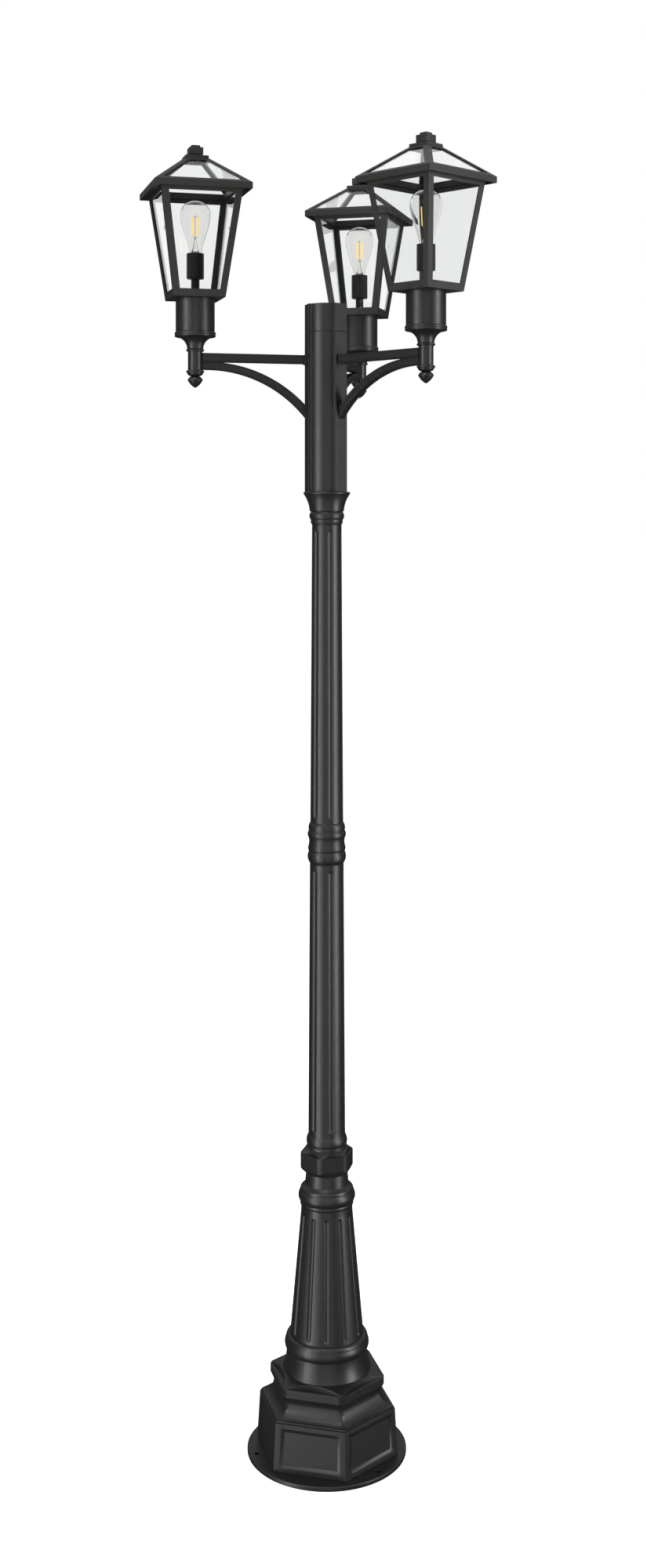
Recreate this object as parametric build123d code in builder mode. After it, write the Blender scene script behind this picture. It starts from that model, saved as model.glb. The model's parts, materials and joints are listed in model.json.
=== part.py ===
from build123d import *
import os
from math import cos, radians, sin, sqrt

# Triple head lamp post, millimetres, +Z up.
# The origin is the middle of the ground plate's underside.

ARM_ANGLES = {"right": -30, "rear": 90, "left": 210}

# ---- fits ---------------------------------------------------------------------------------
slip_gap = 0.2             # radial gap of sleeves and tenons that sit still
swivel_gap = 0.3           # radial gap round each spigot, where a lantern turns
stud_gap = 0.1             # radial gap of the finial stud that turns in the roof
pane_gap = 0.2             # between a glass pane and the frame in front of it
bulb_gap = 0.3             # round the bulb's screw cap in its socket

# ---- ground plate -------------------------------------------------------------------------
plate_radius = 170
plate_thick = 10
plate_edge = 1.5
bolt_circle = 152.5
bolt_hole = 5.5
cable_hole = 30

# ---- panelled box -------------------------------------------------------------------------
cast_wall = 6
box_low = 135.1            # apothem of the box at its foot
box_high = 129.9           # and at its top
box_height = 98
panel_side = 12            # plain frame left and right of each sunk panel
panel_foot = 11            # plain frame below it
panel_head = 9             # plain frame above it
panel_deep = 3
panel_bevel = 66           # degrees that the panel's sloping edge leans from square

# ---- crown: cove and hexagonal collar -----------------------------------------------------
step_in = 3                # shelf between the box and the cove
step_high = 4
cove_low = 124.5           # apothem of the cove at its foot
cove_high = 105            # and at its top, under the collar
cove_height = 36
cove_hollow = 8            # how far the cove sinks below a straight slope
collar_half = 111          # apothem of the collar
collar_lip = 6             # height of the collar's sloping underside
collar_height = 17
collar_slope = 9           # rise of the collar's conical top
collar_trim = 3.6          # how far the collar's corners are cut back
cove_trim = 2              # and the corners below them
scoop_radius = 150

# ---- fluted pedestal ----------------------------------------------------------------------
neck_foot = 94             # outer radius where the neck stands on the collar
neck_top = 86
neck_height = 41
neck_hollow = 2
ring_bulge = 90            # outer radius of the big ring
ring_crease = 87.4         # radius of the crease between it and the bead on it
ring_bead = 86.6
ring_height = 32
ring_bead_height = 10
ring_step = 2
cone_foot = 78.4
cone_top = 55
cone_height = 264
cone_ring_height = 55
cone_ring_radii = (57.2, 56.2, 60.9, 56.8, 56.4, 51.5)       # bulges and creases in turn
cone_ring_levels = (13.5, 17.5, 29, 41.5, 46, 50.5)          # and their heights above the cone
cone_ring_low = 9.5        # plain height under them
throat_foot = 46.6
throat_top = 44.7
throat_height = 25
groove_count = 12
groove_half = 5.6          # half width of a groove on the cone's surface
groove_deep = 3.2
groove_inset = 6           # from the ends of the cone to the ends of its grooves

# ---- collar nut ---------------------------------------------------------------------------
nut_half = 51.5            # apothem
nut_round = 56.8           # its corners are turned off at this radius
nut_foot = 46
nut_height = 52
nut_bowl = 20              # height of the rounded underside
nut_slope = 9
nut_scoop = 70

# ---- fluted shafts ------------------------------------------------------------------------
flute_count = 6
flute_half = 7
flute_deep = 3
flute_inset = 11
foot_bead = 42.9
foot_bead_height = 6
foot_bead_edge = 1
foot_ring = 43.7
foot_ring_height = 22
lower_foot = 39.5
lower_top = 36.2
lower_length = 579
upper_foot = 35.3
upper_top = 31.6
upper_length = 636
lower_bore = 30.5
upper_bore = 26.5
sleeve_wall = 4
sleeve_grip = 70           # how far each inner sleeve reaches into a shaft

# ---- coupling and capital -----------------------------------------------------------------
coupling_height = 88
coupling_bead = 39.3
coupling_groove = 38.4
coupling_ring = 41.1
coupling_waist = 37.9
coupling_levels = (6, 17, 26.5, 32.5, 38, 47, 56, 63, 70.5, 77)  # of its edges and bulges in turn
capital_height = 71
capital_bead = 34.5
capital_groove = 34
capital_ring = 37.3
capital_neck = 36.8
capital_flare = 42.4       # radius two thirds of the way up the flare
capital_lip = 50
capital_levels = (6, 11, 20, 28.5, 30, 53.5)   # of its edges and bulges in turn
lip_height = 5
lip_round = 1.5
tenon_height = 95
tenon_grip = 60

# ---- hub ----------------------------------------------------------------------------------
hub_radius = 42.5
hub_bore = 36
hub_height = 341
pad_face = 44.7            # distance of a pad's flat from the axis
pad_width = 34
cap_height = 60
cap_roof = 5
cap_edge = 1
cap_skirt = 15
hub_screw_radius = 2.6
hub_screw_proud = 0.8
set_screw_heights = (40, 75)
cap_screw_height = 15

# ---- arms ---------------------------------------------------------------------------------
arm_reach = 286            # from the post's axis to a lantern's axis
arm_drop = 59              # from the hub cap's seam down to the middle of the square bar
bar_size = 18.5
bar_bore = 5
bar_line = 1.6             # width of the shallow lines along each side of the bar
bar_line_deep = 0.8
bar_line_edge = 2.2
bar_foot = 21.5
bar_foot_thick = 5
brace_size = 16.5
brace_drop = 96.5          # fall of the brace from the bar to the pad
brace_level = 15           # straight length beside the spindle
spindle_radius = 15.3
spindle_below = 30
spindle_above = 15
bead_radius = 19
bead_height = 5
wire_bore = 5
bell_foot = 17
bell_sweep = 25            # radius of the bell's hollow flare
rim_low = 42.4
rim_high = 43.5
rim_height = 5             # of each of the two rim beads
rim_bulge = 43.2           # widest place of the lower one
spigot_wall = 4
spigot_height = 54
bowl_foot = 8.5
bowl_height = 9
bowl_round = 2
acorn_neck = 7.5
acorn_radius = 15.7
acorn_flare = 8
acorn_height = 17
acorn_tip = 2.5
acorn_edge = 1

# ---- lantern ------------------------------------------------------------------------------
cup_radius = 41
cup_wall = 3
cup_height = 70
cup_top = 4
cup_screw_radius = 2.2
cup_screw_rise = 4.6
cup_screw_proud = 0.4
cup_turn = 45              # turns the cup's seam away from its screws
body_low = 54.5            # half side of the lantern's body at its foot
body_high = 85.5           # and at its top
body_height = 224
body_wall = 2.5
corner_width = 14.5
sill_height = 15.5
head_height = 10
floor_thick = 3
glass = 3
pane_lap = 7               # how far a side pane reaches behind its corner post
pane_foot = 4              # from the body's foot and top to the ends of its panes
pane_head = 2
eave_half = 102
eave_rise = 9
fascia_height = 13
fascia_wall = 2
soffit_half = 76
soffit_thick = 2.5
roof_rise = 60
roof_wall = 2.5
hip_width = 12.7
eave_border = 9
ridge_border = 8
roof_lap = 5
pane_inset = 3.4           # from a roof face's foot and top to the ends of its pane
cap_half = 24.5
cap_thick = 6
finial_neck = 8            # half sides of the finial's stacked square blocks
finial_block = 14.7
finial_crown = 9.2
finial_neck_height = 3
finial_block_height = 15.5
finial_crown_height = 5
finial_edge = 1
stud_radius = 3
stud_tail = 3
nut_radius = 9
nut_thick = 5

# ---- lamp ---------------------------------------------------------------------------------
stem_radius = 8.75
stem_height = 39
nipple_radius = 4.8
nipple_nut = 9
nipple_nut_thick = 5
stem_bore = 3
socket_radius = 18.25
socket_height = 53.5
socket_depth = 27.5
screw_cap_radius = 13.2
screw_cap_tip = 4.5
screw_cap_cone = 7         # height of its tapered end
bulb_radius = 32
bulb_height = 111
bulb_belly = 83            # height of the bulb's widest place above its screw cap
bulb_neck = 12.6
bulb_flare = 0.12          # slope of the glass where it leaves the screw cap
bulb_wall = 1
mount_radius = 5
mount_height = 34
filament_count = 4
filament_length = 44
filament_radius = 1.1
filament_low = 5
filament_high = 8

# ---- heights that follow ------------------------------------------------------------------
z_box = plate_thick
z_cove = z_box + box_height
z_collar = z_cove + step_high + cove_height
z_collar_edge = z_collar + collar_lip + collar_height
z_neck = z_collar_edge + collar_slope
z_ring = z_neck + neck_height
z_cone = z_ring + ring_height
z_cone_top = z_cone + cone_height
z_throat = z_cone_top + cone_ring_height
z_nut = z_throat + throat_height
z_foot = z_nut + nut_height
z_lower = z_foot + foot_bead_height + foot_ring_height
z_coupling = z_lower + lower_length
z_upper = z_coupling + coupling_height
z_capital = z_upper + upper_length
z_hub = z_capital + capital_height
z_cap = z_hub + hub_height
arm_height = z_cap - arm_drop
z_spindle = arm_height - spindle_below
z_bell = arm_height + spindle_above
z_rim = z_bell + bead_height / 2 + bell_sweep
z_cup = z_rim + 2 * rim_height
z_floor = z_cup + cup_height
z_body_top = z_floor + body_height
z_eave = z_body_top + eave_rise
z_ridge = z_eave + roof_rise
z_finial = z_ridge + cap_thick
z_stem = z_floor + floor_thick
z_socket = z_stem + stem_height
z_bulb = z_socket + socket_height

# ---- shapes that follow -------------------------------------------------------------------
hexagon_half = 1 / sqrt(3)             # half of a hexagon's side, for an apothem of one
face_turn = ARM_ANGLES["right"]        # a face of the pedestal looks along each arm
spigot_radius = cup_radius - cup_wall - swivel_gap
tenon_radius = hub_bore - slip_gap
body_lean = (body_high - body_low) / body_height

os.makedirs("parts", exist_ok=True)


def export(name, part):
    part.label = name
    export_step(part, f"parts/{name}.step")


def upright(angle):
    """Vertical plane through the Z axis whose own X runs outwards at the given angle."""
    turn = radians(angle)
    return Plane(origin=(0, 0, 0), x_dir=(cos(turn), sin(turn), 0), z_dir=(sin(turn), -cos(turn), 0))


def flute(low, high, half_width, depth):
    """Capsule that cuts one round-ended flute down the +X side of a shaft.

    low and high are the (radius, height) of the shaft's surface at the ends of the flute.
    """
    radius = (half_width**2 + depth**2) / (2 * depth)
    start = Vector(low[0] + radius - depth, 0, low[1] + half_width)
    end = Vector(high[0] + radius - depth, 0, high[1] - half_width)
    with BuildPart() as cutter:
        with BuildSketch(Plane(origin=start, x_dir=(0, 1, 0), z_dir=end - start)):
            Circle(radius)
        extrude(amount=(end - start).length)
        with Locations(start, end):
            Sphere(radius)
    return cutter.part


def slope_plane(low, high, depth=0):
    """Plane on the +X face of a taper: its X runs across, its Y up the slope, its Z outwards.

    low and high are the (half side, height) of the face's foot and top.
    """
    slope = Vector(high[0] - low[0], 0, high[1] - low[1])
    normal = Vector(slope.Z, 0, -slope.X).normalized()
    return Plane(origin=Vector(low[0], 0, low[1]) - normal * depth, x_dir=(0, 1, 0), z_dir=normal)


def trapezoid(low_half, high_half, low_y, high_y):
    """Face symmetric about the Y axis, between two heights."""
    corners = ((-low_half, low_y), (low_half, low_y), (high_half, high_y), (-high_half, high_y))
    Polygon(*corners, align=None)


def square_taper(low, high, mode=Mode.ADD):
    """Four-sided taper between two (half side, height) levels, in the part being built."""
    levels = []
    for half, height in (low, high):
        with BuildSketch(Plane.XY.offset(height)) as level:
            Rectangle(2 * half, 2 * half)
        levels.append(level.sketch)
    loft(levels, mode=mode)


def arcs(points):
    """Chain of arcs, each through three of the points and sharing its ends with the next."""
    for start, middle, end in zip(points[::2], points[1::2], points[2::2]):
        ThreePointArc(start, middle, end)


def scallop(apothem, radius, low_z, height, turn):
    """Cut the arcs between the corners of a hexagonal collar's top."""
    place = apothem + sqrt(radius**2 - (apothem * hexagon_half) ** 2)
    with BuildSketch(Plane.XY.offset(low_z)) as scoops:
        with PolarLocations(place, 6, start_angle=turn):
            Circle(radius)
    extrude(scoops.sketch, amount=height, mode=Mode.SUBTRACT)


def tube(outer, inner, low_z, high_z):
    with BuildPart() as piece:
        with BuildSketch(Plane.XY.offset(low_z)):
            Circle(outer)
            Circle(inner, mode=Mode.SUBTRACT)
        extrude(amount=high_z - low_z)
    return piece.part


# ---- ground plate -------------------------------------------------------------------------
with BuildPart() as ground_plate:
    Cylinder(plate_radius, plate_thick, align=(Align.CENTER, Align.CENTER, Align.MIN))
    chamfer(ground_plate.edges().filter_by(GeomType.CIRCLE), length=plate_edge)
    with BuildSketch(Plane.XY.offset(plate_thick)):
        Circle(cable_hole)
        with PolarLocations(bolt_circle, len(ARM_ANGLES), start_angle=face_turn):
            Circle(bolt_hole)
    extrude(amount=-plate_thick, mode=Mode.SUBTRACT)
export("ground_plate", ground_plate.part)

# ---- panelled box, hollow -----------------------------------------------------------------
with BuildPart() as panel_cutter:
    with BuildSketch(slope_plane((box_low, z_box), (box_high, z_cove))):
        trapezoid(
            box_low * hexagon_half - panel_side,
            box_high * hexagon_half - panel_side,
            panel_foot,
            box_height - panel_head,
        )
    extrude(amount=-panel_deep, taper=panel_bevel)

with BuildPart() as pedestal_box:
    for inset, mode in ((0, Mode.ADD), (cast_wall, Mode.SUBTRACT)):
        for height, apothem in ((z_box, box_low), (z_cove, box_high)):
            with BuildSketch(Plane.XY.offset(height)):
                RegularPolygon(apothem - inset, 6, major_radius=False, rotation=face_turn + 30)
        loft(mode=mode)
    with PolarLocations(0, 6, start_angle=face_turn):
        add(panel_cutter.part, mode=Mode.SUBTRACT)
export("pedestal_box", pedestal_box.part)

# ---- crown --------------------------------------------------------------------------------
# The symmetric outline is pushed through in three directions.  What the three share is a
# hexagonal piece whose apothem follows the outline at every height.  Three more, stretched to
# the corners and cut back a little, trim the ridges.
def crown_outline(turn, stretch=1.0, low_trim=0.0, high_trim=0.0):
    shelf = (box_high - step_in) * stretch
    cove_foot = (cove_low * stretch - low_trim, z_cove + step_high)
    cove_head = (cove_high * stretch - high_trim, z_collar)
    collar_out = collar_half * stretch - high_trim
    with BuildSketch(upright(turn)) as outline:
        with BuildLine():
            Polyline((0, z_cove), (shelf, z_cove), (shelf, z_cove + step_high), cove_foot)
            SagittaArc(cove_foot, cove_head, cove_hollow * stretch)
            Polyline(cove_head, (collar_out, z_collar + collar_lip), (collar_out, z_neck), (0, z_neck))
            mirror(about=Plane.YZ)
        make_face()
    return outline.sketch


with BuildPart() as pedestal_crown:
    for turn in (0, 60, 120):
        outline = crown_outline(face_turn + turn)
        extrude(outline, amount=plate_radius, both=True, mode=Mode.INTERSECT if turn else Mode.ADD)
    for turn in (30, 90, 150):
        outline = crown_outline(face_turn + turn, 2 * hexagon_half, cove_trim, collar_trim)
        extrude(outline, amount=plate_radius, both=True, mode=Mode.INTERSECT)
    # the conical top, down from the neck to the corners
    with BuildSketch(Plane.XZ):
        Polygon(
            (0, z_cove),
            (plate_radius, z_cove),
            (plate_radius, z_collar_edge),
            (2 * collar_half * hexagon_half, z_collar_edge),
            (neck_foot, z_neck),
            (0, z_neck),
            align=None,
        )
    revolve(axis=Axis.Z, mode=Mode.INTERSECT)
    scallop(collar_half, scoop_radius, z_collar_edge, collar_slope, face_turn)
    # the cavity
    with BuildSketch(Plane.XZ):
        Polygon(
            (0, z_cove),
            (cove_low - 2 * cast_wall, z_cove),
            (cove_high - 2 * cast_wall, z_collar),
            (neck_foot - 2 * cast_wall, z_collar_edge),
            (neck_foot - 2 * cast_wall, z_neck),
            (0, z_neck),
            align=None,
        )
    revolve(axis=Axis.Z, mode=Mode.SUBTRACT)
export("pedestal_crown", pedestal_crown.part)

# ---- fluted pedestal ----------------------------------------------------------------------
with BuildPart() as fluted_pedestal:
    bead_foot = (ring_crease, z_cone - ring_bead_height)
    bead_end = (cone_foot + ring_step, z_cone)
    beads_foot = (cone_top, z_cone_top + cone_ring_low)
    beads = [(r, z_cone_top + rise) for r, rise in zip(cone_ring_radii, cone_ring_levels)]
    with BuildSketch(Plane.XZ):
        with BuildLine():
            SagittaArc((neck_foot, z_neck), (neck_top, z_ring), neck_hollow)
            ThreePointArc((neck_top, z_ring), (ring_bulge, z_ring + ring_bead_height), bead_foot)
            ThreePointArc(bead_foot, (ring_bead, z_cone - ring_bead_height / 2), bead_end)
            Polyline(bead_end, (cone_foot, z_cone), (cone_top, z_cone_top), beads_foot)
            arcs([beads_foot] + beads)
            Polyline(
                beads[-1],
                (throat_foot, z_throat),
                (throat_top, z_nut),
                (lower_bore, z_nut),
                (lower_bore, z_cone_top),
                (cone_top - cast_wall, z_cone_top - 2 * cast_wall),
                (cone_foot - cast_wall, z_cone),
                (neck_foot - 2 * cast_wall, z_neck),
                (neck_foot, z_neck),
            )
        make_face()
    revolve(axis=Axis.Z)
    cone_lean = (cone_foot - cone_top) / cone_height * groove_inset
    groove = flute(
        (cone_foot - cone_lean, z_cone + groove_inset),
        (cone_top + cone_lean, z_cone_top - groove_inset),
        groove_half,
        groove_deep,
    )
    with PolarLocations(0, groove_count, start_angle=180 / groove_count):
        add(groove, mode=Mode.SUBTRACT)
export("fluted_pedestal", fluted_pedestal.part)

# ---- collar nut ---------------------------------------------------------------------------
with BuildPart() as collar_nut:
    bowl_head = (nut_half, z_nut + nut_bowl)
    for turn in (0, 60, 120):
        with BuildSketch(upright(turn)):
            with BuildLine():
                Line((0, z_nut), (nut_foot, z_nut))
                SagittaArc((nut_foot, z_nut), bowl_head, -ring_step)
                Polyline(bowl_head, (nut_half, z_foot), (0, z_foot))
                mirror(about=Plane.YZ)
            make_face()
        extrude(amount=nut_round, both=True, mode=Mode.INTERSECT if turn else Mode.ADD)
    with BuildSketch(Plane.XZ):
        Polygon(
            (0, z_nut),
            (nut_foot, z_nut),
            (nut_round, z_nut + nut_bowl / 2),
            (nut_round, z_foot - nut_slope),
            (foot_bead, z_foot),
            (0, z_foot),
            align=None,
        )
    revolve(axis=Axis.Z, mode=Mode.INTERSECT)
    scallop(nut_half, nut_scoop, z_foot - nut_slope, nut_slope, 0)
    with BuildSketch(Plane.XY.offset(z_nut)):
        Circle(lower_bore)
    extrude(amount=nut_height, mode=Mode.SUBTRACT)
export("collar_nut", collar_nut.part)


# ---- shafts -------------------------------------------------------------------------------
def shaft_flute(foot_radius, top_radius, low_z, high_z):
    lean = (foot_radius - top_radius) / (high_z - low_z) * flute_inset
    low = (foot_radius - lean, low_z + flute_inset)
    high = (top_radius + lean, high_z - flute_inset)
    return flute(low, high, flute_half, flute_deep)


with BuildPart() as lower_shaft:
    bead_end = (foot_bead - foot_bead_edge, z_foot + foot_bead_height)
    with BuildSketch(Plane.XZ):
        with BuildLine():
            Polyline(
                (foot_bead, z_foot),
                (foot_bead, z_foot + foot_bead_height - foot_bead_edge),
                bead_end,
            )
            ThreePointArc(
                bead_end,
                (foot_ring, z_foot + foot_bead_height + foot_ring_height / 3),
                (lower_foot, z_lower),
            )
            Polyline(
                (lower_foot, z_lower),
                (lower_top, z_coupling),
                (lower_bore, z_coupling),
                (lower_bore, z_foot),
                (foot_bead, z_foot),
            )
        make_face()
    revolve(axis=Axis.Z)
    with PolarLocations(0, flute_count):
        add(shaft_flute(lower_foot, lower_top, z_lower, z_coupling), mode=Mode.SUBTRACT)
export("lower_shaft", lower_shaft.part)

with BuildPart() as upper_shaft:
    with BuildSketch(Plane.XZ):
        Polygon(
            (upper_bore, z_upper),
            (upper_foot, z_upper),
            (upper_top, z_capital),
            (upper_bore, z_capital),
            align=None,
        )
    revolve(axis=Axis.Z)
    with PolarLocations(0, flute_count):
        add(shaft_flute(upper_foot, upper_top, z_upper, z_capital), mode=Mode.SUBTRACT)
export("upper_shaft", upper_shaft.part)

# ---- coupling between the shafts, with a shoulder in its bore ------------------------------
z_shoulder = z_coupling + coupling_height / 2
coupling_radii = (
    coupling_bead,
    coupling_ring,
    coupling_groove,
    (coupling_ring + coupling_bead) / 2,
    coupling_bead,
    coupling_waist,
    coupling_bead,
    coupling_ring,
    coupling_groove,
    coupling_bead,
)
with BuildPart() as shaft_coupling:
    rings = [(r, z_coupling + level) for r, level in zip(coupling_radii, coupling_levels)]
    with BuildSketch(Plane.XZ):
        with BuildLine():
            Line((lower_top, z_coupling), rings[0])
            arcs(rings + [(upper_foot, z_upper)])
            Polyline(
                (upper_foot, z_upper),
                (upper_bore, z_upper),
                (upper_bore, z_shoulder),
                (lower_bore, z_shoulder),
                (lower_bore, z_coupling),
                (lower_top, z_coupling),
            )
        make_face()
    revolve(axis=Axis.Z)
export("shaft_coupling", shaft_coupling.part)

# ---- hidden sleeves that carry the shafts --------------------------------------------------
foot_sleeve = tube(
    lower_bore - slip_gap,
    lower_bore - slip_gap - sleeve_wall,
    z_cone_top,
    z_foot + sleeve_grip,
)
export("foot_sleeve", foot_sleeve)

with BuildPart() as coupling_sleeve:
    with BuildSketch(Plane.XY.offset(z_coupling - sleeve_grip)):
        Circle(lower_bore - slip_gap)
    extrude(amount=sleeve_grip + coupling_height / 2)
    with BuildSketch(Plane.XY.offset(z_shoulder)):
        Circle(upper_bore - slip_gap)
    extrude(amount=coupling_height / 2 + sleeve_grip)
    with BuildSketch(Plane.XY.offset(z_coupling - sleeve_grip)):
        Circle(upper_bore - slip_gap - sleeve_wall)
    extrude(amount=coupling_height + 2 * sleeve_grip, mode=Mode.SUBTRACT)
export("coupling_sleeve", coupling_sleeve.part)

# ---- capital, with a tenon up into the hub and one down into the shaft ----------------------
capital_radii = (
    capital_bead,
    capital_groove,
    capital_ring,
    capital_groove,
    capital_neck,
    capital_flare,
)
with BuildPart() as capital:
    bead, groove, ring, ring_end, neck, flare = [
        (radius, z_capital + level) for radius, level in zip(capital_radii, capital_levels)
    ]
    lip_foot = (capital_lip - lip_round / 2, z_hub - lip_height)
    lip_end = (capital_lip - lip_round, z_hub)
    with BuildSketch(Plane.XZ):
        with BuildLine():
            Polyline((upper_top, z_capital), bead, groove)
            arcs([groove, ring, ring_end])
            Line(ring_end, neck)
            arcs([neck, flare, lip_foot, (capital_lip, z_hub - lip_height / 2), lip_end])
            Polyline(
                lip_end,
                (tenon_radius, z_hub),
                (tenon_radius, z_hub + tenon_height),
                (tenon_radius - sleeve_wall, z_hub + tenon_height),
                (upper_bore - slip_gap - sleeve_wall, z_capital),
                (upper_bore - slip_gap - sleeve_wall, z_capital - tenon_grip),
                (upper_bore - slip_gap, z_capital - tenon_grip),
                (upper_bore - slip_gap, z_capital),
                (upper_top, z_capital),
            )
        make_face()
    revolve(axis=Axis.Z)
export("capital", capital.part)


# ---- hub and hub cap: one drawn section with a flat pad under each arm ----------------------
def hub_section(bore):
    Circle(hub_radius)
    with PolarLocations(0, len(ARM_ANGLES), start_angle=face_turn):
        Rectangle(pad_face, pad_width, align=(Align.MIN, Align.CENTER))
    Circle(bore, mode=Mode.SUBTRACT)


def radial_screws(angles, heights, radius, low, high):
    """Plain screws that point at the Z axis, from one distance to another."""
    with BuildPart() as screws:
        for angle in angles:
            out = Vector(1, 0, 0).rotate(Axis.Z, angle)
            for height in heights:
                with BuildSketch(Plane(origin=out * low + Vector(0, 0, height), z_dir=out)):
                    Circle(radius)
        extrude(amount=high - low)
    return screws.part


hub_screws = radial_screws(
    ARM_ANGLES.values(),
    [z_hub + rise for rise in set_screw_heights] + [z_cap + cap_screw_height],
    hub_screw_radius,
    hub_bore,
    pad_face + hub_screw_proud,
)
export("hub_screws", hub_screws)

with BuildPart() as hub:
    with BuildSketch(Plane.XY.offset(z_hub)):
        hub_section(hub_bore)
    extrude(amount=hub_height)
    add(hub_screws, mode=Mode.SUBTRACT)
export("hub", hub.part)

with BuildPart() as hub_cap:
    with BuildSketch(Plane.XY.offset(z_cap)):
        hub_section(hub_bore)
    extrude(amount=cap_height)
    with BuildSketch(Plane.XY.offset(z_cap + cap_height - cap_roof)):
        Circle(hub_bore)
    extrude(amount=cap_roof)
    chamfer(hub_cap.faces().sort_by(Axis.Z)[-1].edges(), length=cap_edge)
    with BuildSketch(Plane.XY.offset(z_cap - cap_skirt)):
        Circle(tenon_radius)
        Circle(tenon_radius - sleeve_wall, mode=Mode.SUBTRACT)
    extrude(amount=cap_skirt)
    with BuildSketch(Plane.XY.offset(z_cap)):
        Circle(hub_bore)
        Circle(tenon_radius - sleeve_wall, mode=Mode.SUBTRACT)
    extrude(amount=sleeve_wall)
    add(hub_screws, mode=Mode.SUBTRACT)
export("hub_cap", hub_cap.part)

# ---- one arm, drawn along +X from the post's axis -------------------------------------------
with BuildPart() as arm_bar:
    with BuildSketch(Plane.YZ.offset(pad_face)):
        with Locations((0, arm_height)):
            Rectangle(bar_size, bar_size)
            line_places = [
                (side * bar_size / 2, rise * (bar_size / 2 - bar_line_edge))
                for side in (-1, 1)
                for rise in (-1, 1)
            ]
            with Locations(*line_places):
                Rectangle(2 * bar_line_deep, bar_line, mode=Mode.SUBTRACT)
    extrude(amount=arm_reach - pad_face)
    with BuildSketch(Plane.YZ.offset(pad_face)):
        with Locations((0, arm_height)):
            Rectangle(bar_foot, bar_foot)
    extrude(amount=bar_foot_thick)
    with BuildSketch(Plane.YZ.offset(pad_face)):
        with Locations((0, arm_height)):
            Circle(bar_bore)
    extrude(amount=arm_reach - pad_face, mode=Mode.SUBTRACT)
    with BuildSketch(Plane.XY.offset(z_spindle)):
        with Locations((arm_reach, 0)):
            Circle(spindle_radius)
    extrude(amount=spindle_below + spindle_above, mode=Mode.SUBTRACT)

brace_level_z = arm_height - bar_size / 2 - brace_size / 2
brace_run = arm_reach - spindle_radius - brace_level - pad_face
brace_radius = (brace_run**2 + brace_drop**2) / (2 * brace_drop)
with BuildPart() as arm_brace:
    with BuildSketch(Plane.XZ):
        with Locations((pad_face + brace_run, brace_level_z - brace_radius)):
            Circle(brace_radius + brace_size / 2)
            Circle(brace_radius - brace_size / 2, mode=Mode.SUBTRACT)
        with Locations((pad_face, brace_level_z + brace_size)):
            Rectangle(brace_run, 2 * brace_drop, align=(Align.MIN, Align.MAX), mode=Mode.INTERSECT)
        with Locations((pad_face + brace_run, brace_level_z)):
            Rectangle(brace_level + spindle_radius, brace_size, align=(Align.MIN, Align.CENTER))
    extrude(amount=brace_size / 2, both=True)
    with BuildSketch(Plane.XY.offset(z_spindle)):
        with Locations((arm_reach, 0)):
            Circle(spindle_radius)
    extrude(amount=spindle_below + spindle_above, mode=Mode.SUBTRACT)

# The spindle, its finial and everything of a lantern are drawn about the lantern's own axis.
with BuildPart() as arm_spindle:
    bell_foot_z = z_bell + bead_height / 2
    with BuildSketch(Plane.XZ):
        with BuildLine():
            bowl_top = (bead_radius - bowl_round, z_spindle - bead_height / 2)
            SagittaArc((bowl_foot, z_spindle - bowl_height), bowl_top, -bowl_round)
            ThreePointArc(bowl_top, (bead_radius, z_spindle), (spindle_radius, z_spindle + bead_height / 2))
            Line((spindle_radius, z_spindle + bead_height / 2), (spindle_radius, z_bell - bead_height / 2))
            ThreePointArc(
                (spindle_radius, z_bell - bead_height / 2),
                (bead_radius, z_bell),
                (bell_foot, bell_foot_z),
            )
            RadiusArc((bell_foot, bell_foot_z), (bell_foot + bell_sweep, z_rim), bell_sweep)
            ThreePointArc(
                (bell_foot + bell_sweep, z_rim),
                (rim_bulge, z_rim + rim_height / 2),
                (rim_low, z_rim + rim_height),
            )
            ThreePointArc(
                (rim_low, z_rim + rim_height),
                (rim_high, z_rim + 1.5 * rim_height),
                (rim_low, z_cup),
            )
            Polyline(
                (rim_low, z_cup),
                (spigot_radius, z_cup),
                (spigot_radius, z_cup + spigot_height),
                (spigot_radius - spigot_wall, z_cup + spigot_height),
                (spigot_radius - spigot_wall, z_rim),
                (wire_bore, z_rim - bell_sweep / 2),
                (wire_bore, z_spindle - bowl_height + sleeve_wall),
                (0, z_spindle - bowl_height + sleeve_wall),
                (0, z_spindle - bowl_height),
                (bowl_foot, z_spindle - bowl_height),
            )
        make_face()
    revolve(axis=Axis.Z)

with BuildPart() as acorn:
    z_acorn = z_spindle - bowl_height
    z_tip = z_acorn - acorn_flare - acorn_height
    widest = (acorn_radius, z_acorn - acorn_flare)
    with BuildSketch(Plane.XZ):
        with BuildLine():
            Line((0, z_acorn), (acorn_neck, z_acorn))
            SagittaArc((acorn_neck, z_acorn), widest, -acorn_edge)
            Polyline(
                widest,
                (acorn_radius - acorn_edge, z_acorn - acorn_flare - 2 * acorn_edge),
                (acorn_tip, z_tip + acorn_tip / 2),
                (0, z_tip),
                (0, z_acorn),
            )
        make_face()
    revolve(axis=Axis.Z)

# ---- one lantern --------------------------------------------------------------------------
fitter_screws = radial_screws(
    (0, 90, 180, 270),
    [z_cup + cup_screw_rise],
    cup_screw_radius,
    cup_radius - cup_wall,
    cup_radius + cup_screw_proud,
)

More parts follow.
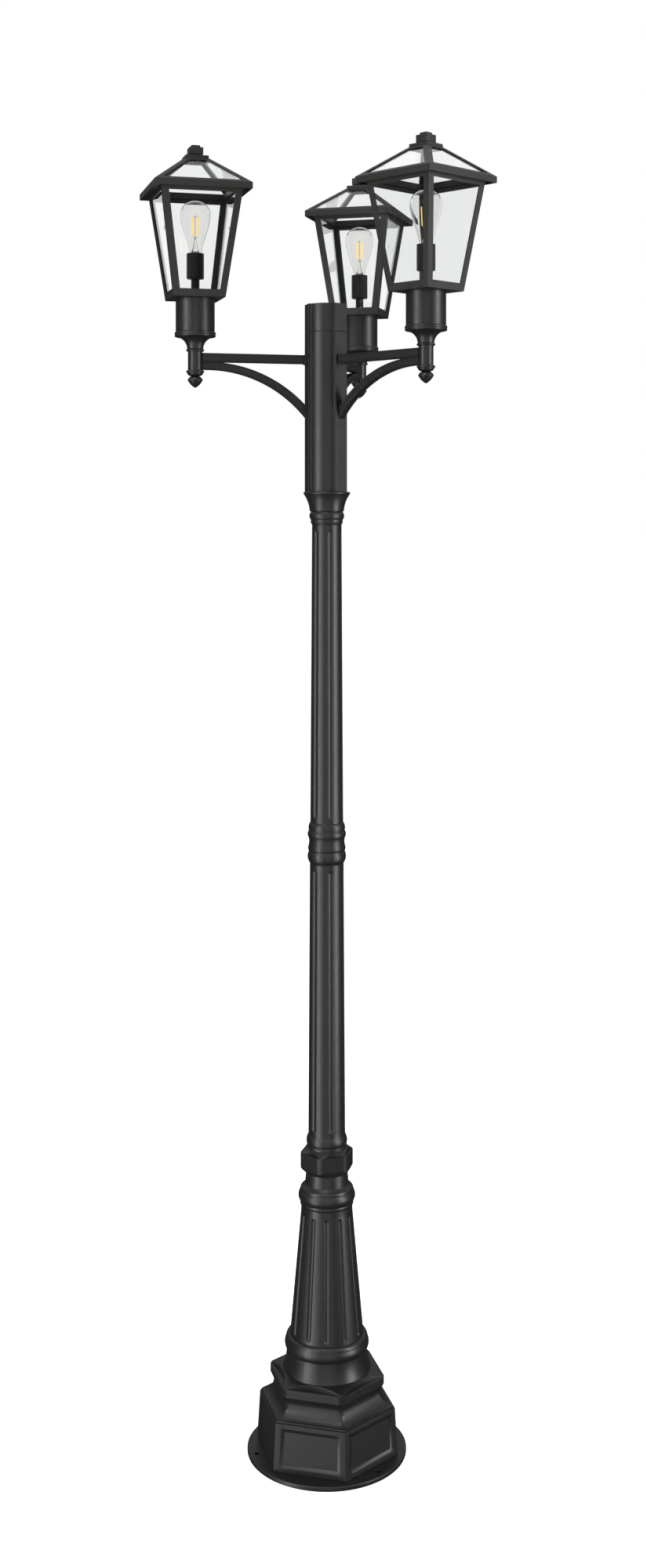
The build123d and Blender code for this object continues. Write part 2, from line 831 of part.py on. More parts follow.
with BuildPart() as fitter:
    cup_plane = Plane.XY.offset(z_cup).rotated((0, 0, cup_turn))
    with BuildSketch(cup_plane):
        Circle(cup_radius)
    extrude(amount=cup_height)
    with BuildSketch(cup_plane):
        Circle(cup_radius - cup_wall)
    extrude(amount=cup_height - cup_top, mode=Mode.SUBTRACT)
    with BuildSketch(Plane.XY.offset(z_floor)):
        Circle(nipple_radius)
    extrude(amount=-cup_top, mode=Mode.SUBTRACT)
    add(fitter_screws, mode=Mode.SUBTRACT)

body_foot = (body_low, z_floor)
body_head = (body_high, z_body_top)
with BuildPart() as body_window:
    opening_low = sill_height
    opening_high = body_height - head_height
    with BuildSketch(slope_plane(body_foot, body_head)):
        trapezoid(
            body_low + body_lean * opening_low - corner_width,
            body_low + body_lean * opening_high - corner_width,
            opening_low,
            opening_high,
        )
    extrude(amount=-3 * body_wall)

with BuildPart() as lantern_frame:
    square_taper(body_foot, body_head)
    inner_foot = (body_low - body_wall + body_lean * floor_thick, z_stem)
    square_taper(inner_foot, (body_high - body_wall, z_body_top), mode=Mode.SUBTRACT)
    with PolarLocations(0, 4):
        add(body_window.part, mode=Mode.SUBTRACT)
    with BuildSketch(Plane.XY.offset(z_floor)):
        Circle(nipple_radius)
    extrude(amount=floor_thick, mode=Mode.SUBTRACT)

with BuildPart() as side_pane:
    pane_low = pane_foot
    pane_high = body_height - pane_head
    with BuildSketch(slope_plane(body_foot, body_head, depth=body_wall + pane_gap)):
        trapezoid(
            body_low + body_lean * pane_low - pane_lap,
            body_low + body_lean * pane_high - pane_lap,
            pane_low,
            pane_high,
        )
    extrude(amount=-glass)

with BuildPart() as side_panes:
    with PolarLocations(0, 4):
        add(side_pane.part)

eave = (eave_half, z_eave)
ridge = (cap_half, z_ridge)
roof_length = sqrt((eave_half - cap_half) ** 2 + roof_rise**2)
roof_narrow = (eave_half - cap_half) / roof_length     # loss of half width along the slope
roof_wall_flat = roof_wall * roof_length / roof_rise   # the sheet's thickness measured level
with BuildPart() as roof_window:
    opening_high = roof_length - ridge_border
    with BuildSketch(slope_plane(eave, ridge)):
        trapezoid(
            eave_half - roof_narrow * eave_border - hip_width,
            eave_half - roof_narrow * opening_high - hip_width,
            eave_border,
            opening_high,
        )
    extrude(amount=-2 * roof_wall)

with BuildPart() as roof_frame:
    square_taper(eave, ridge)
    inner_eave = (eave_half - roof_wall_flat, z_eave)
    square_taper(inner_eave, (cap_half - roof_wall_flat, z_ridge), mode=Mode.SUBTRACT)
    with PolarLocations(0, 4):
        add(roof_window.part, mode=Mode.SUBTRACT)
    with BuildSketch(Plane.XY.offset(z_eave)):
        Rectangle(2 * eave_half, 2 * eave_half)
        inner_side = 2 * (eave_half - fascia_wall)
        Rectangle(inner_side, inner_side, mode=Mode.SUBTRACT)
    extrude(amount=-fascia_height)
    with BuildSketch(Plane.XY.offset(z_body_top)):
        Rectangle(2 * eave_half, 2 * eave_half)
        Rectangle(2 * soffit_half, 2 * soffit_half, mode=Mode.SUBTRACT)
    extrude(amount=soffit_thick)
    with BuildSketch(Plane.XY.offset(z_ridge)):
        Rectangle(2 * cap_half, 2 * cap_half)
    extrude(amount=cap_thick)
    with BuildSketch(Plane.XY.offset(z_ridge - nut_thick)):
        RegularPolygon(nut_radius, 6)
    extrude(amount=nut_thick)
    with BuildSketch(Plane.XY.offset(z_finial)):
        Circle(stud_radius + stud_gap)
    extrude(amount=-cap_thick - nut_thick, mode=Mode.SUBTRACT)

with BuildPart() as roof_pane:
    pane_low = pane_inset
    pane_high = roof_length - pane_inset
    with BuildSketch(slope_plane(eave, ridge, depth=roof_wall + pane_gap)):
        trapezoid(
            eave_half - roof_narrow * pane_low - hip_width + roof_lap,
            eave_half - roof_narrow * pane_high - hip_width + roof_lap,
            pane_low,
            pane_high,
        )
    extrude(amount=-glass)

with BuildPart() as roof_panes:
    with PolarLocations(0, 4):
        add(roof_pane.part)

with BuildPart() as roof_finial:
    with BuildSketch(Plane.XY.offset(z_finial)):
        Rectangle(2 * finial_neck, 2 * finial_neck)
    extrude(amount=finial_neck_height)
    with BuildSketch(Plane.XY.offset(z_finial + finial_neck_height)):
        Rectangle(2 * finial_block, 2 * finial_block)
    extrude(amount=finial_block_height)
    chamfer(roof_finial.faces().sort_by(Axis.Z)[-1].edges(), length=finial_edge)
    with BuildSketch(Plane.XY.offset(z_finial + finial_neck_height + finial_block_height)):
        Rectangle(2 * finial_crown, 2 * finial_crown)
    extrude(amount=finial_crown_height)
    chamfer(roof_finial.faces().sort_by(Axis.Z)[-1].edges(), length=finial_edge)
    with BuildSketch(Plane.XY.offset(z_finial)):
        Circle(stud_radius)
    extrude(amount=-cap_thick - nut_thick - stud_tail)

# ---- lamp stem, socket and bulb -----------------------------------------------------------
with BuildPart() as lamp_stem:
    with BuildSketch(Plane.XY.offset(z_stem)):
        Circle(stem_radius)
    extrude(amount=stem_height)
    with BuildSketch(Plane.XY.offset(z_stem)):
        Circle(nipple_radius)
    extrude(amount=-floor_thick - cup_top - nipple_nut_thick)
    with BuildSketch(Plane.XY.offset(z_floor - cup_top)):
        RegularPolygon(nipple_nut, 6)
    extrude(amount=-nipple_nut_thick)
    with BuildSketch(Plane.XY.offset(z_socket)):
        Circle(stem_bore)
    extrude(amount=z_floor - z_socket - cup_top - nipple_nut_thick, mode=Mode.SUBTRACT)

with BuildPart() as lamp_socket:
    with BuildSketch(Plane.XY.offset(z_socket)):
        Circle(socket_radius)
    extrude(amount=socket_height)
    with BuildSketch(Plane.XY.offset(z_bulb)):
        Circle(screw_cap_radius + bulb_gap)
    extrude(amount=-socket_depth, mode=Mode.SUBTRACT)

bulb_seat = z_bulb + bulb_gap
with BuildPart() as bulb_cap:
    with BuildSketch(Plane.XZ):
        Polygon(
            (0, z_bulb - socket_depth),
            (screw_cap_tip, z_bulb - socket_depth),
            (screw_cap_radius, z_bulb - socket_depth + screw_cap_cone),
            (screw_cap_radius, bulb_seat),
            (0, bulb_seat),
            align=None,
        )
    revolve(axis=Axis.Z)


def envelope(inset, mode):
    """Pear-shaped body of the bulb, set in by one wall or not."""
    belly = (bulb_radius - inset, bulb_seat + bulb_belly)
    crown = (0, bulb_seat + bulb_height - inset)
    with BuildSketch(Plane.XZ) as pear:
        with BuildLine():
            Line((0, bulb_seat), (bulb_neck - inset, bulb_seat))
            Spline((bulb_neck - inset, bulb_seat), belly, tangents=((bulb_flare, 1), (0, 1)))
            Spline(belly, crown, tangents=((0, 1), (-1, 0)))
            Line(crown, (0, bulb_seat))
        make_face()
    revolve(pear.sketch, axis=Axis.Z, mode=mode)


with BuildPart() as bulb_glass:
    envelope(0, Mode.ADD)
    envelope(bulb_wall, Mode.SUBTRACT)

with BuildPart() as filament:
    with BuildSketch(Plane.XZ):
        Polygon(
            (0, bulb_seat),
            (2 * mount_radius, bulb_seat),
            (mount_radius, bulb_seat + mount_height / 3),
            (mount_radius / 2, bulb_seat + mount_height),
            (0, bulb_seat + mount_height),
            align=None,
        )
    revolve(axis=Axis.Z)
    z_stick = bulb_seat + mount_height
    with BuildSketch(Plane.XY.offset(z_stick)):
        Circle(filament_low + filament_radius)
    extrude(amount=filament_radius)
    with BuildSketch(Plane.XY.offset(z_stick + filament_length)):
        Circle(filament_high + filament_radius)
        Circle(filament_high - filament_radius, mode=Mode.SUBTRACT)
    extrude(amount=filament_radius)
    for step in range(filament_count):
        turn = radians(45 + 360 / filament_count * step)
        low = Vector(filament_low * cos(turn), filament_low * sin(turn), z_stick)
        high = Vector(filament_high * cos(turn), filament_high * sin(turn), z_stick + filament_length)
        with BuildSketch(Plane(origin=low, z_dir=high - low)):
            Circle(filament_radius)
        extrude(amount=(high - low).length)

# ---- the arms and lanterns in their places ------------------------------------------------
on_arm = {"arm_bar": arm_bar.part, "arm_brace": arm_brace.part}
on_axis = {
    "arm_spindle": arm_spindle.part,
    "fitter": fitter.part,
    "fitter_screws": fitter_screws,
    "lantern_frame": lantern_frame.part,
    "side_panes": side_panes.part,
    "roof_frame": roof_frame.part,
    "roof_panes": roof_panes.part,
    "roof_finial": roof_finial.part,
    "lamp_stem": lamp_stem.part,
    "lamp_socket": lamp_socket.part,
    "bulb_cap": bulb_cap.part,
    "bulb_glass": bulb_glass.part,
    "filament": filament.part,
}
acorns = []
for side, angle in ARM_ANGLES.items():
    along_arm = Location((0, 0, 0), (0, 0, angle))
    at_lantern = along_arm * Location((arm_reach, 0, 0))
    for name, piece in on_arm.items():
        export(f"{side}_{name}", piece.moved(along_arm))
    for name, piece in on_axis.items():
        export(f"{side}_{name}", piece.moved(at_lantern))
    acorns.append(acorn.part.moved(at_lantern))
export("arm_finials", Compound(children=acorns))
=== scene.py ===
import json
from contextlib import contextmanager
from math import asin, atan2, cos, hypot, radians, sin, sqrt, tau

import bmesh
import bpy
from mathutils import Matrix, Vector

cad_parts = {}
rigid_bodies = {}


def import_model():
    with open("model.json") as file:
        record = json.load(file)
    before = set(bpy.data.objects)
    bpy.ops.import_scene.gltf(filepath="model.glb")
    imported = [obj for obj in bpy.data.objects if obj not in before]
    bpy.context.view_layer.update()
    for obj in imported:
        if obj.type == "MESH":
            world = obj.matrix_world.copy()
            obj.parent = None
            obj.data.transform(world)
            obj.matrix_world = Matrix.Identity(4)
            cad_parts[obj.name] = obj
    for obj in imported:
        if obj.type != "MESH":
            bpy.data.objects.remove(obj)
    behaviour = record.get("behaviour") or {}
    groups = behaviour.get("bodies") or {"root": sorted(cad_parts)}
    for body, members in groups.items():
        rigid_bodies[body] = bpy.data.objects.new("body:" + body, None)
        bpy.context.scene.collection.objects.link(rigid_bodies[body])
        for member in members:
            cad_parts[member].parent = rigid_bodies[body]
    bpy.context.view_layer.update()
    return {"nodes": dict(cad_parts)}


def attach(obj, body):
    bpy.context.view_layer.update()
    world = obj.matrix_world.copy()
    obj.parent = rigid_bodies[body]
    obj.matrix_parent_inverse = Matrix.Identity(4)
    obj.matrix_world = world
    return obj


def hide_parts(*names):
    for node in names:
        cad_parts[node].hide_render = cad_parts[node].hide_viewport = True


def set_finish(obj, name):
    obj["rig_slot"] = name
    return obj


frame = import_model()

# Triple head lamp post.  Shapes are drawn in millimetres and scaled once, when a piece is done.

MM = 0.001
ARM_ANGLES = {"right": -30, "rear": 90, "left": 210}
ARM_REACH = 286
HEXAGON_HALF = 1 / sqrt(3)             # half of a hexagon's side, for an apothem of one
AROUND = 96                            # steps round a turned piece

# heights of the joints between the pieces, up the post
Z_BOX, Z_COVE, Z_NECK, Z_RING, Z_CONE, Z_CONE_TOP = 10, 108, 180, 221, 253, 517
Z_THROAT, Z_NUT, Z_FOOT, Z_LOWER, Z_COUPLING, Z_UPPER = 572, 597, 649, 677, 1256, 1344
Z_CAPITAL, Z_HUB, Z_CAP, Z_CAP_TOP = 1980, 2051, 2392, 2452
Z_SPINDLE, Z_ARM, Z_BELL, Z_RIM, Z_CUP = 2303, 2333, 2348, 2375.5, 2385.5
Z_FLOOR, Z_STEM, Z_SOCKET, Z_BULB = 2455.5, 2458.5, 2497.5, 2551
Z_BODY_TOP, Z_EAVE, Z_RIDGE, Z_FINIAL = 2679.5, 2688.5, 2748.5, 2754.5


# ---- finishes -----------------------------------------------------------------------------
GRAIN_LOW, GRAIN_HIGH = 0.3, 0.7       # the noise lies almost wholly between these
SKIN_DEPTH = 0.1 * MM                  # height of the coats' pebbles and the metals' marks
CLOUDS, GLOSS_CLOUDS = 9.0, 60.0       # patches of colour and of gloss to a metre
GLASS_WAVE_DEPTH = MM
SHADE_OF_GLASS = (0.93, 0.95, 0.94, 1)
BODY_OF_GLASS = (0.62, 0.9, 0.78, 1)


def node_maker(tree):
    """Function that adds a node to the tree and gives it settings, values and links."""

    def node(kind, inputs=(), **settings):
        made = tree.nodes.new(kind)
        for key, value in settings.items():
            setattr(made, key, value)
        for key, value in dict(inputs).items():
            if isinstance(value, bpy.types.NodeSocket):
                tree.links.new(value, made.inputs[key])
            else:
                made.inputs[key].default_value = value
        return made

    return node


def maths(node, operation, *values):
    """Result of a math node on numbers and sockets."""
    return node("ShaderNodeMath", dict(enumerate(values)), operation=operation).outputs[0]


def shader_material(name):
    """New material; gives it, its node function, its surface shader and its links."""
    material = bpy.data.materials.new(name)
    material.use_nodes = True
    tree = material.node_tree
    return material, node_maker(tree), tree.nodes["Principled BSDF"], tree.links


def seen_straight(node):
    """1 for rays that the camera sends, straight on or through glass only; 0 for mirrored ones."""
    path = node("ShaderNodeLightPath").outputs
    through = maths(node, "MAXIMUM", path["Is Camera Ray"], path["Is Transmission Ray"])
    turns = maths(node, "ADD", path["Glossy Depth"], path["Diffuse Depth"])
    unturned = maths(node, "LESS_THAN", turns, 0.5)
    return maths(node, "MULTIPLY", through, unturned), path


def grain(node, scale, detail=3.0):
    """Noise that stays on the piece, as one number from 0 to 1."""
    place = node("ShaderNodeTexCoord").outputs["Object"]
    noise = node("ShaderNodeTexNoise", {"Vector": place, "Scale": scale, "Detail": detail})
    return noise.outputs["Fac"]


def ranged(node, value, low, high):
    """The grain's values spread from low to high."""
    spread = {"From Min": GRAIN_LOW, "From Max": GRAIN_HIGH, "To Min": low, "To Max": high}
    return node("ShaderNodeMapRange", {"Value": value, **spread}).outputs["Result"]


def bumped(node, height, strength, depth=SKIN_DEPTH, **under):
    """Normal of a skin that rises and falls with a pattern."""
    values = {"Height": height, "Strength": strength, "Distance": depth, **under}
    return node("ShaderNodeBump", values).outputs["Normal"]


def coating(name, dark, pale, rough, pebble, relief, edge):
    """Powder coat: uneven colour and gloss, a pebbled skin and rounded edges."""
    material, node, shader, links = shader_material(name)
    shades = {"Factor": grain(node, CLOUDS), "A": (*dark, 1), "B": (*pale, 1)}
    tint = node("ShaderNodeMix", shades, data_type="RGBA")
    links.new(tint.outputs["Result"], shader.inputs["Base Color"])
    links.new(ranged(node, grain(node, GLOSS_CLOUDS), *rough), shader.inputs["Roughness"])
    rounded = node("ShaderNodeBevel", {"Radius": edge}, samples=4).outputs["Normal"]
    pebbled = bumped(node, grain(node, pebble, 2.0), relief, Normal=rounded)
    links.new(pebbled, shader.inputs["Normal"])
    shader.inputs["Specular IOR Level"].default_value = 0.3
    return material


def metal(name, colour, rough, scale):
    """Bare or plated metal with fine turning marks and wear in its gloss."""
    material, node, shader, links = shader_material(name)
    marks = grain(node, scale, 4.0)
    shader.inputs["Base Color"].default_value = (*colour, 1)
    shader.inputs["Metallic"].default_value = 1.0
    links.new(ranged(node, marks, *rough), shader.inputs["Roughness"])
    links.new(bumped(node, marks, 0.2), shader.inputs["Normal"])
    return material


def moulded(name, colour, rough):
    """Moulded phenolic of the lamp holders."""
    material, node, shader, links = shader_material(name)
    shader.inputs["Base Color"].default_value = (*colour, 1)
    shader.inputs["Specular IOR Level"].default_value = 0.3
    links.new(ranged(node, grain(node, 120.0), *rough), shader.inputs["Roughness"])
    links.new(bumped(node, grain(node, 900.0), 0.15), shader.inputs["Normal"])
    return material


def glazing(name, colour, wave, murk=0.0):
    """Clear glass with a faint wave; light passes it without a hard shadow."""
    material, node, shader, links = shader_material(name)
    shader.inputs["Base Color"].default_value = (*colour, 1)
    shader.inputs["Transmission Weight"].default_value = 1.0
    shader.inputs["IOR"].default_value = 1.5
    links.new(ranged(node, grain(node, 30.0), 0.0, 0.004), shader.inputs["Roughness"])
    waves = bumped(node, grain(node, 14.0, 1.0), wave, GLASS_WAVE_DEPTH)
    links.new(waves, shader.inputs["Normal"])
    shadow = node("ShaderNodeLightPath").outputs["Is Shadow Ray"]
    through = node("ShaderNodeBsdfTransparent", {"Color": SHADE_OF_GLASS}).outputs["BSDF"]
    mix = node("ShaderNodeMixShader", {0: shadow, 1: shader.outputs["BSDF"], 2: through})
    output = material.node_tree.nodes["Material Output"]
    links.new(mix.outputs["Shader"], output.inputs["Surface"])
    if murk:
        body = node("ShaderNodeVolumeAbsorption", {"Color": BODY_OF_GLASS, "Density": murk})
        links.new(body.outputs["Volume"], output.inputs["Volume"])
    return material


def glowing(name, colour, strength):
    """Phosphor on the lamp's filaments, a little brighter in places."""
    material, node, shader, links = shader_material(name)
    shader.inputs["Base Color"].default_value = (*[0.3 * part for part in colour], 1)
    shader.inputs["Emission Color"].default_value = (*colour, 1)
    glow = ranged(node, grain(node, 220.0), 0.8 * strength, strength)
    links.new(glow, shader.inputs["Emission Strength"])
    links.new(ranged(node, grain(node, 300.0), 0.4, 0.6), shader.inputs["Roughness"])
    return material


FINISHES = {
    "post_coat": coating(
        "post_coat",
        dark=(0.004, 0.004, 0.0043),
        pale=(0.006, 0.006, 0.0064),
        rough=(0.36, 0.42),
        pebble=1100.0,
        relief=0.08,
        edge=0.0011,
    ),
    "lantern_coat": coating(
        "lantern_coat",
        dark=(0.007, 0.007, 0.0062),
        pale=(0.010, 0.010, 0.0088),
        rough=(0.38, 0.46),
        pebble=700.0,
        relief=0.2,
        edge=0.0007,
    ),
    "screw_steel": metal("screw_steel", (0.035, 0.035, 0.035), rough=(0.3, 0.45), scale=800.0),
    "sleeve_steel": metal("sleeve_steel", (0.45, 0.45, 0.45), rough=(0.3, 0.5), scale=150.0),
    "cap_nickel": metal("cap_nickel", (0.72, 0.7, 0.66), rough=(0.12, 0.25), scale=300.0),
    "socket_black": moulded("socket_black", (0.005, 0.005, 0.005), rough=(0.35, 0.5)),
    "clear_glass": glazing("clear_glass", (0.99, 1.0, 0.995), wave=0.002, murk=3.5),
    "bulb_glass": glazing("bulb_glass", (1.0, 0.995, 0.99), wave=0.004),
    "filament_amber": glowing("filament_amber", (1.0, 0.58, 0.12), strength=1.25),
}


# ---- geometry node trees ------------------------------------------------------------------
def new_tree(name, sockets):
    """Geometry node tree with the named inputs and a geometry output, and its node function."""
    tree = bpy.data.node_groups.new(name, "GeometryNodeTree")
    for label, kind in sockets.items():
        tree.interface.new_socket(label, in_out="INPUT", socket_type=f"NodeSocket{kind}")
    tree.interface.new_socket("Result", in_out="OUTPUT", socket_type="NodeSocketGeometry")
    return tree, node_maker(tree)


def ring_tree():
    """Copies of a piece, evenly turned about the Z axis and welded where they meet."""
    tree, node = new_tree("copies_round_axis", {
        "Piece": "Geometry",
        "Copies": "Int",
        "First angle": "Float",
        "Weld": "Float",
        "Finish": "Material",
    })
    given = node("NodeGroupInput").outputs
    line = {"Count": given["Copies"], "Offset": (0, 0, 0)}
    points = node("GeometryNodeMeshLine", line).outputs[0]
    turn = maths(node, "DIVIDE", tau, given["Copies"])
    index = node("GeometryNodeInputIndex").outputs[0]
    angle = maths(node, "MULTIPLY_ADD", index, turn, given["First angle"])
    rotation = node("ShaderNodeCombineXYZ", {"Z": angle}).outputs[0]
    copies = node("GeometryNodeInstanceOnPoints", {
        "Points": points,
        "Instance": given["Piece"],
        "Rotation": rotation,
    })
    plain = node("GeometryNodeRealizeInstances", {0: copies.outputs[0]}).outputs[0]
    welded = node("GeometryNodeMergeByDistance", {"Geometry": plain, "Distance": given["Weld"]})
    finish = {"Geometry": welded.outputs[0], "Material": given["Finish"]}
    node("NodeGroupOutput", {0: node("GeometryNodeSetMaterial", finish).outputs[0]})
    return tree


def bar_tree():
    """Bar of another object's section, swept along the object's own path."""
    tree, node = new_tree("bar_along_path", {
        "Path": "Geometry",
        "Section": "Object",
        "Bar size": "Float",
        "Finish": "Material",
    })
    given = node("NodeGroupInput").outputs
    drawn = node("GeometryNodeObjectInfo", {"Object": given["Section"]}).outputs["Geometry"]
    swept = node("GeometryNodeCurveToMesh", {
        "Curve": given["Path"],
        "Profile Curve": drawn,
        "Scale": given["Bar size"],
        "Fill Caps": True,
    })
    plain = node("GeometryNodeRealizeInstances", {0: swept.outputs[0]}).outputs[0]
    finish = {"Geometry": plain, "Material": given["Finish"]}
    node("NodeGroupOutput", {0: node("GeometryNodeSetMaterial", finish).outputs[0]})
    return tree


RING = ring_tree()
BAR = bar_tree()


def placed(name, data):
    """New object of a mesh, curve, lamp or camera, put in the scene."""
    shown = bpy.data.objects.new(name, data)
    bpy.context.scene.collection.objects.link(shown)
    return shown


def evaluated_mesh(shown):
    """Plain mesh of an object with its modifiers worked in; the object is then dropped."""
    bpy.context.view_layer.update()
    depsgraph = bpy.context.evaluated_depsgraph_get()
    mesh = bpy.data.meshes.new_from_object(shown.evaluated_get(depsgraph))
    bpy.data.objects.remove(shown)
    return mesh


def worked(data, tree, **inputs):
    """Mesh that a node tree makes of a mesh or curve; inputs are named as the tree's sockets."""
    shown = placed("work", data)
    modifier = shown.modifiers.new("work", "NODES")
    modifier.node_group = tree
    for socket in tree.interface.items_tree:
        label = socket.name.replace(" ", "_").lower()
        if socket.in_out == "INPUT" and label in inputs:
            modifier[socket.identifier] = inputs[label]
    return evaluated_mesh(shown)


def ring_of(mesh, copies, first_angle=0.0, weld=0.01):
    return worked(mesh, RING, copies=copies, first_angle=radians(first_angle), weld=weld)


# ---- drawing ------------------------------------------------------------------------------
def mesh_of(verts, faces):
    mesh = bpy.data.meshes.new("shape")
    mesh.from_pydata([tuple(v) for v in verts], [], faces)
    return mesh


def skin(rows, wrap_rows=True, wrap_columns=True):
    """Quads between equal rows of points."""
    count = len(rows[0])
    verts = [point for row in rows for point in row]
    faces = []
    for r in range(len(rows) if wrap_rows else len(rows) - 1):
        low, high = r * count, (r + 1) % len(rows) * count
        for c in range(count if wrap_columns else count - 1):
            n = (c + 1) % count
            faces.append((low + c, low + n, high + n, high + c))
    return mesh_of(verts, faces)


def circle(radius, around):
    """Points (x, y) evenly round a circle."""
    turns = [tau * i / around for i in range(around)]
    return [(radius * cos(turn), radius * sin(turn)) for turn in turns]


def turned(outline, around=AROUND):
    """Surface of revolution; the outline is (radius, height) points round the section."""
    return skin([[(x, y, height) for x, y in circle(radius, around)] for radius, height in outline])


def squared(outline):
    """As turned, but square: the outline's first numbers are half sides."""
    corners = ((1, -1), (1, 1), (-1, 1), (-1, -1))
    return skin([[(half * x, half * y, height) for x, y in corners] for half, height in outline])


def arc(start, middle, end, steps=12):
    """Points of the arc through three points, without the first."""
    (ax, ay), (bx, by), (cx, cy) = start, middle, end
    twice = 2 * (ax * (by - cy) + bx * (cy - ay) + cx * (ay - by))
    a2, b2, c2 = ax**2 + ay**2, bx**2 + by**2, cx**2 + cy**2
    ux = (a2 * (by - cy) + b2 * (cy - ay) + c2 * (ay - by)) / twice
    uy = (a2 * (cx - bx) + b2 * (ax - cx) + c2 * (bx - ax)) / twice
    radius = hypot(ax - ux, ay - uy)
    first = atan2(ay - uy, ax - ux)
    sweep = (atan2(cy - uy, cx - ux) - first) % tau
    if (atan2(by - uy, bx - ux) - first) % tau > sweep:
        sweep -= tau
    return [
        (ux + radius * cos(first + sweep * k / steps), uy + radius * sin(first + sweep * k / steps))
        for k in range(1, steps + 1)
    ]


def risen(points, level):
    """Outline points whose heights are counted from a level."""
    return [(radius, level + rise) for radius, rise in points]


def arcs(start, points, level=0):
    """Points of arcs that run on from a start through (middle, end) pairs, without the start."""
    outline = [start]
    places = risen(points, level)
    for middle, end in zip(places[::2], places[1::2]):
        outline += arc(outline[-1], middle, end)
    return outline[1:]


def curved(points, level=0):
    """Outline from the first point on, through the middles and ends of arcs in turn."""
    start, *others = points
    first = risen([start], level)
    return first + arcs(first[0], others, level)


LANDS, FLUTE_STEPS, FLUTE_LENGTHS = 4, 10, 12   # faces beside, across and along a flute
TIP_CUTS = (1.0, 0.985, 0.94, 0.85, 0.7, 0.5, 0.25)  # where a flute's round end is cut by rows
TIP_MARGIN = 0.6                       # plain strip before the tip of a flute
LEAST_EDGE = 0.0004                    # square of the half width kept where the cutter runs out


def fluted(copies, low, high, inset, half, deep, before, after):
    """One sector of a tapered shaft with a round-ended flute down its +X side.

    low and high are the (radius, height) of the shaft's ends; before and after carry the
    outline on from there to the inside of the bore.
    """
    round_radius = (half**2 + deep**2) / (2 * deep)
    sector = tau / copies / 2

    def row(radius, height, reach=0):
        """Points across the sector; reach is the cutter's radius here, or 0 beside the flute."""
        cutter = reach or round_radius
        centre = radius + round_radius - deep
        touch = (centre**2 + radius**2 - cutter**2) / (2 * centre)
        edge = sqrt(max(radius**2 - touch**2, LEAST_EDGE))
        points = []
        for k in range(FLUTE_STEPS + 1):
            across = edge * (2 * k / FLUTE_STEPS - 1)
            out = centre - sqrt(cutter**2 - across**2) if reach else sqrt(radius**2 - across**2)
            points.append((out, across, height))
        turn = asin(edge / radius)
        spread = [turn + (sector - turn) * k / LANDS for k in range(1, LANDS + 1)]
        right = [(radius * cos(a), radius * sin(a), height) for a in spread]
        left = [(x, -y, z) for x, y, z in reversed(right)]
        return left + points + right

    def on_shaft(height):
        share = (height - low[1]) / (high[1] - low[1])
        return low[0] + (high[0] - low[0]) * share

    start, stop = low[1] + inset, high[1] - inset
    length = stop - start - 2 * half
    cuts = [(start + half - half * tip, tip) for tip in TIP_CUTS]
    cuts += [(start + half + length * k / FLUTE_LENGTHS, 0) for k in range(FLUTE_LENGTHS + 1)]
    cuts += [(stop - half + half * tip, tip) for tip in reversed(TIP_CUTS)]

    rows = [row(radius, height) for radius, height in before]
    rows.append(row(on_shaft(start - TIP_MARGIN), start - TIP_MARGIN))
    for height, tip in cuts:
        rows.append(row(on_shaft(height), height, sqrt(round_radius**2 - (half * tip) ** 2)))
    rows.append(row(on_shaft(stop + TIP_MARGIN), stop + TIP_MARGIN))
    rows += [row(radius, height) for radius, height in after]
    return skin(rows, wrap_columns=False)


def framed(low, high, open_low, open_high, side, wall):
    """One face of a four-sided taper with a window in it, looking along +X.

    low and high are (half side, height); the window runs between two heights and keeps a
    plain strip of the given width at each side.
    """
    slope = Vector((high[0] - low[0], 0, high[1] - low[1]))
    inward = Vector((-slope.z, 0, slope.x)).normalized() * wall
    level = abs(wall * slope.length / slope.z)

    def outer(height, inner_column):
        share = (height - low[1]) / (high[1] - low[1])
        half = low[0] + (high[0] - low[0]) * share
        reach = half - side if inner_column else half
        return [Vector((half, -reach, height)), Vector((half, reach, height))]

    grid, back = [], []
    for height in (low[1], open_low, open_high, high[1]):
        left, right = outer(height, False)
        inner_left, inner_right = outer(height, True)
        grid += [left, inner_left, inner_right, right]
        shift = inward if height in (open_low, open_high) else Vector((-level, 0, 0))
        back += [
            left + Vector((-level, level, 0)),
            inner_left + shift,
            inner_right + shift,
            right + Vector((-level, -level, 0)),
        ]
    # The front is a grid of 4 by 4 points with its middle open; the back's points follow it.
    count, behind = 4, 16
    faces = []
    for r in range(3):
        for c in range(3):
            if (r, c) != (1, 1):
                a = count * r + c
                face = (a, a + 1, a + count + 1, a + count)
                faces += [face, tuple(behind + corner for corner in reversed(face))]
    for a, b in ((5, 6), (6, 10), (10, 9), (9, 5)):
        faces.append((a, b, b + behind, a + behind))
    for base in (0, 3 * count):
        for a in range(base, base + 3):
            faces.append((a, a + 1, behind + a + 1, behind + a))
    return mesh_of(grid + back, faces)


def plate(low, high, thick):
    """Flat pane lying on the +X face of a taper; low and high are (out, half width, height)."""
    slope = Vector((high[0] - low[0], 0, high[2] - low[2]))
    inward = Vector((-slope.z, 0, slope.x)).normalized() * thick
    front = [Vector((out, side * half, z)) for out, half, z in (low, high) for side in (-1, 1)]
    verts = front + [corner + inward for corner in front]
    faces = [(0, 1, 3, 2), (4, 6, 7, 5), (0, 4, 5, 1), (2, 3, 7, 6), (0, 2, 6, 4), (1, 5, 7, 3)]
    return mesh_of(verts, faces)


@contextmanager
def edited(mesh):
    """Open a mesh for editing, and write it back."""
    work = bmesh.new()
    work.from_mesh(mesh)
    yield work
    work.to_mesh(mesh)
    work.free()


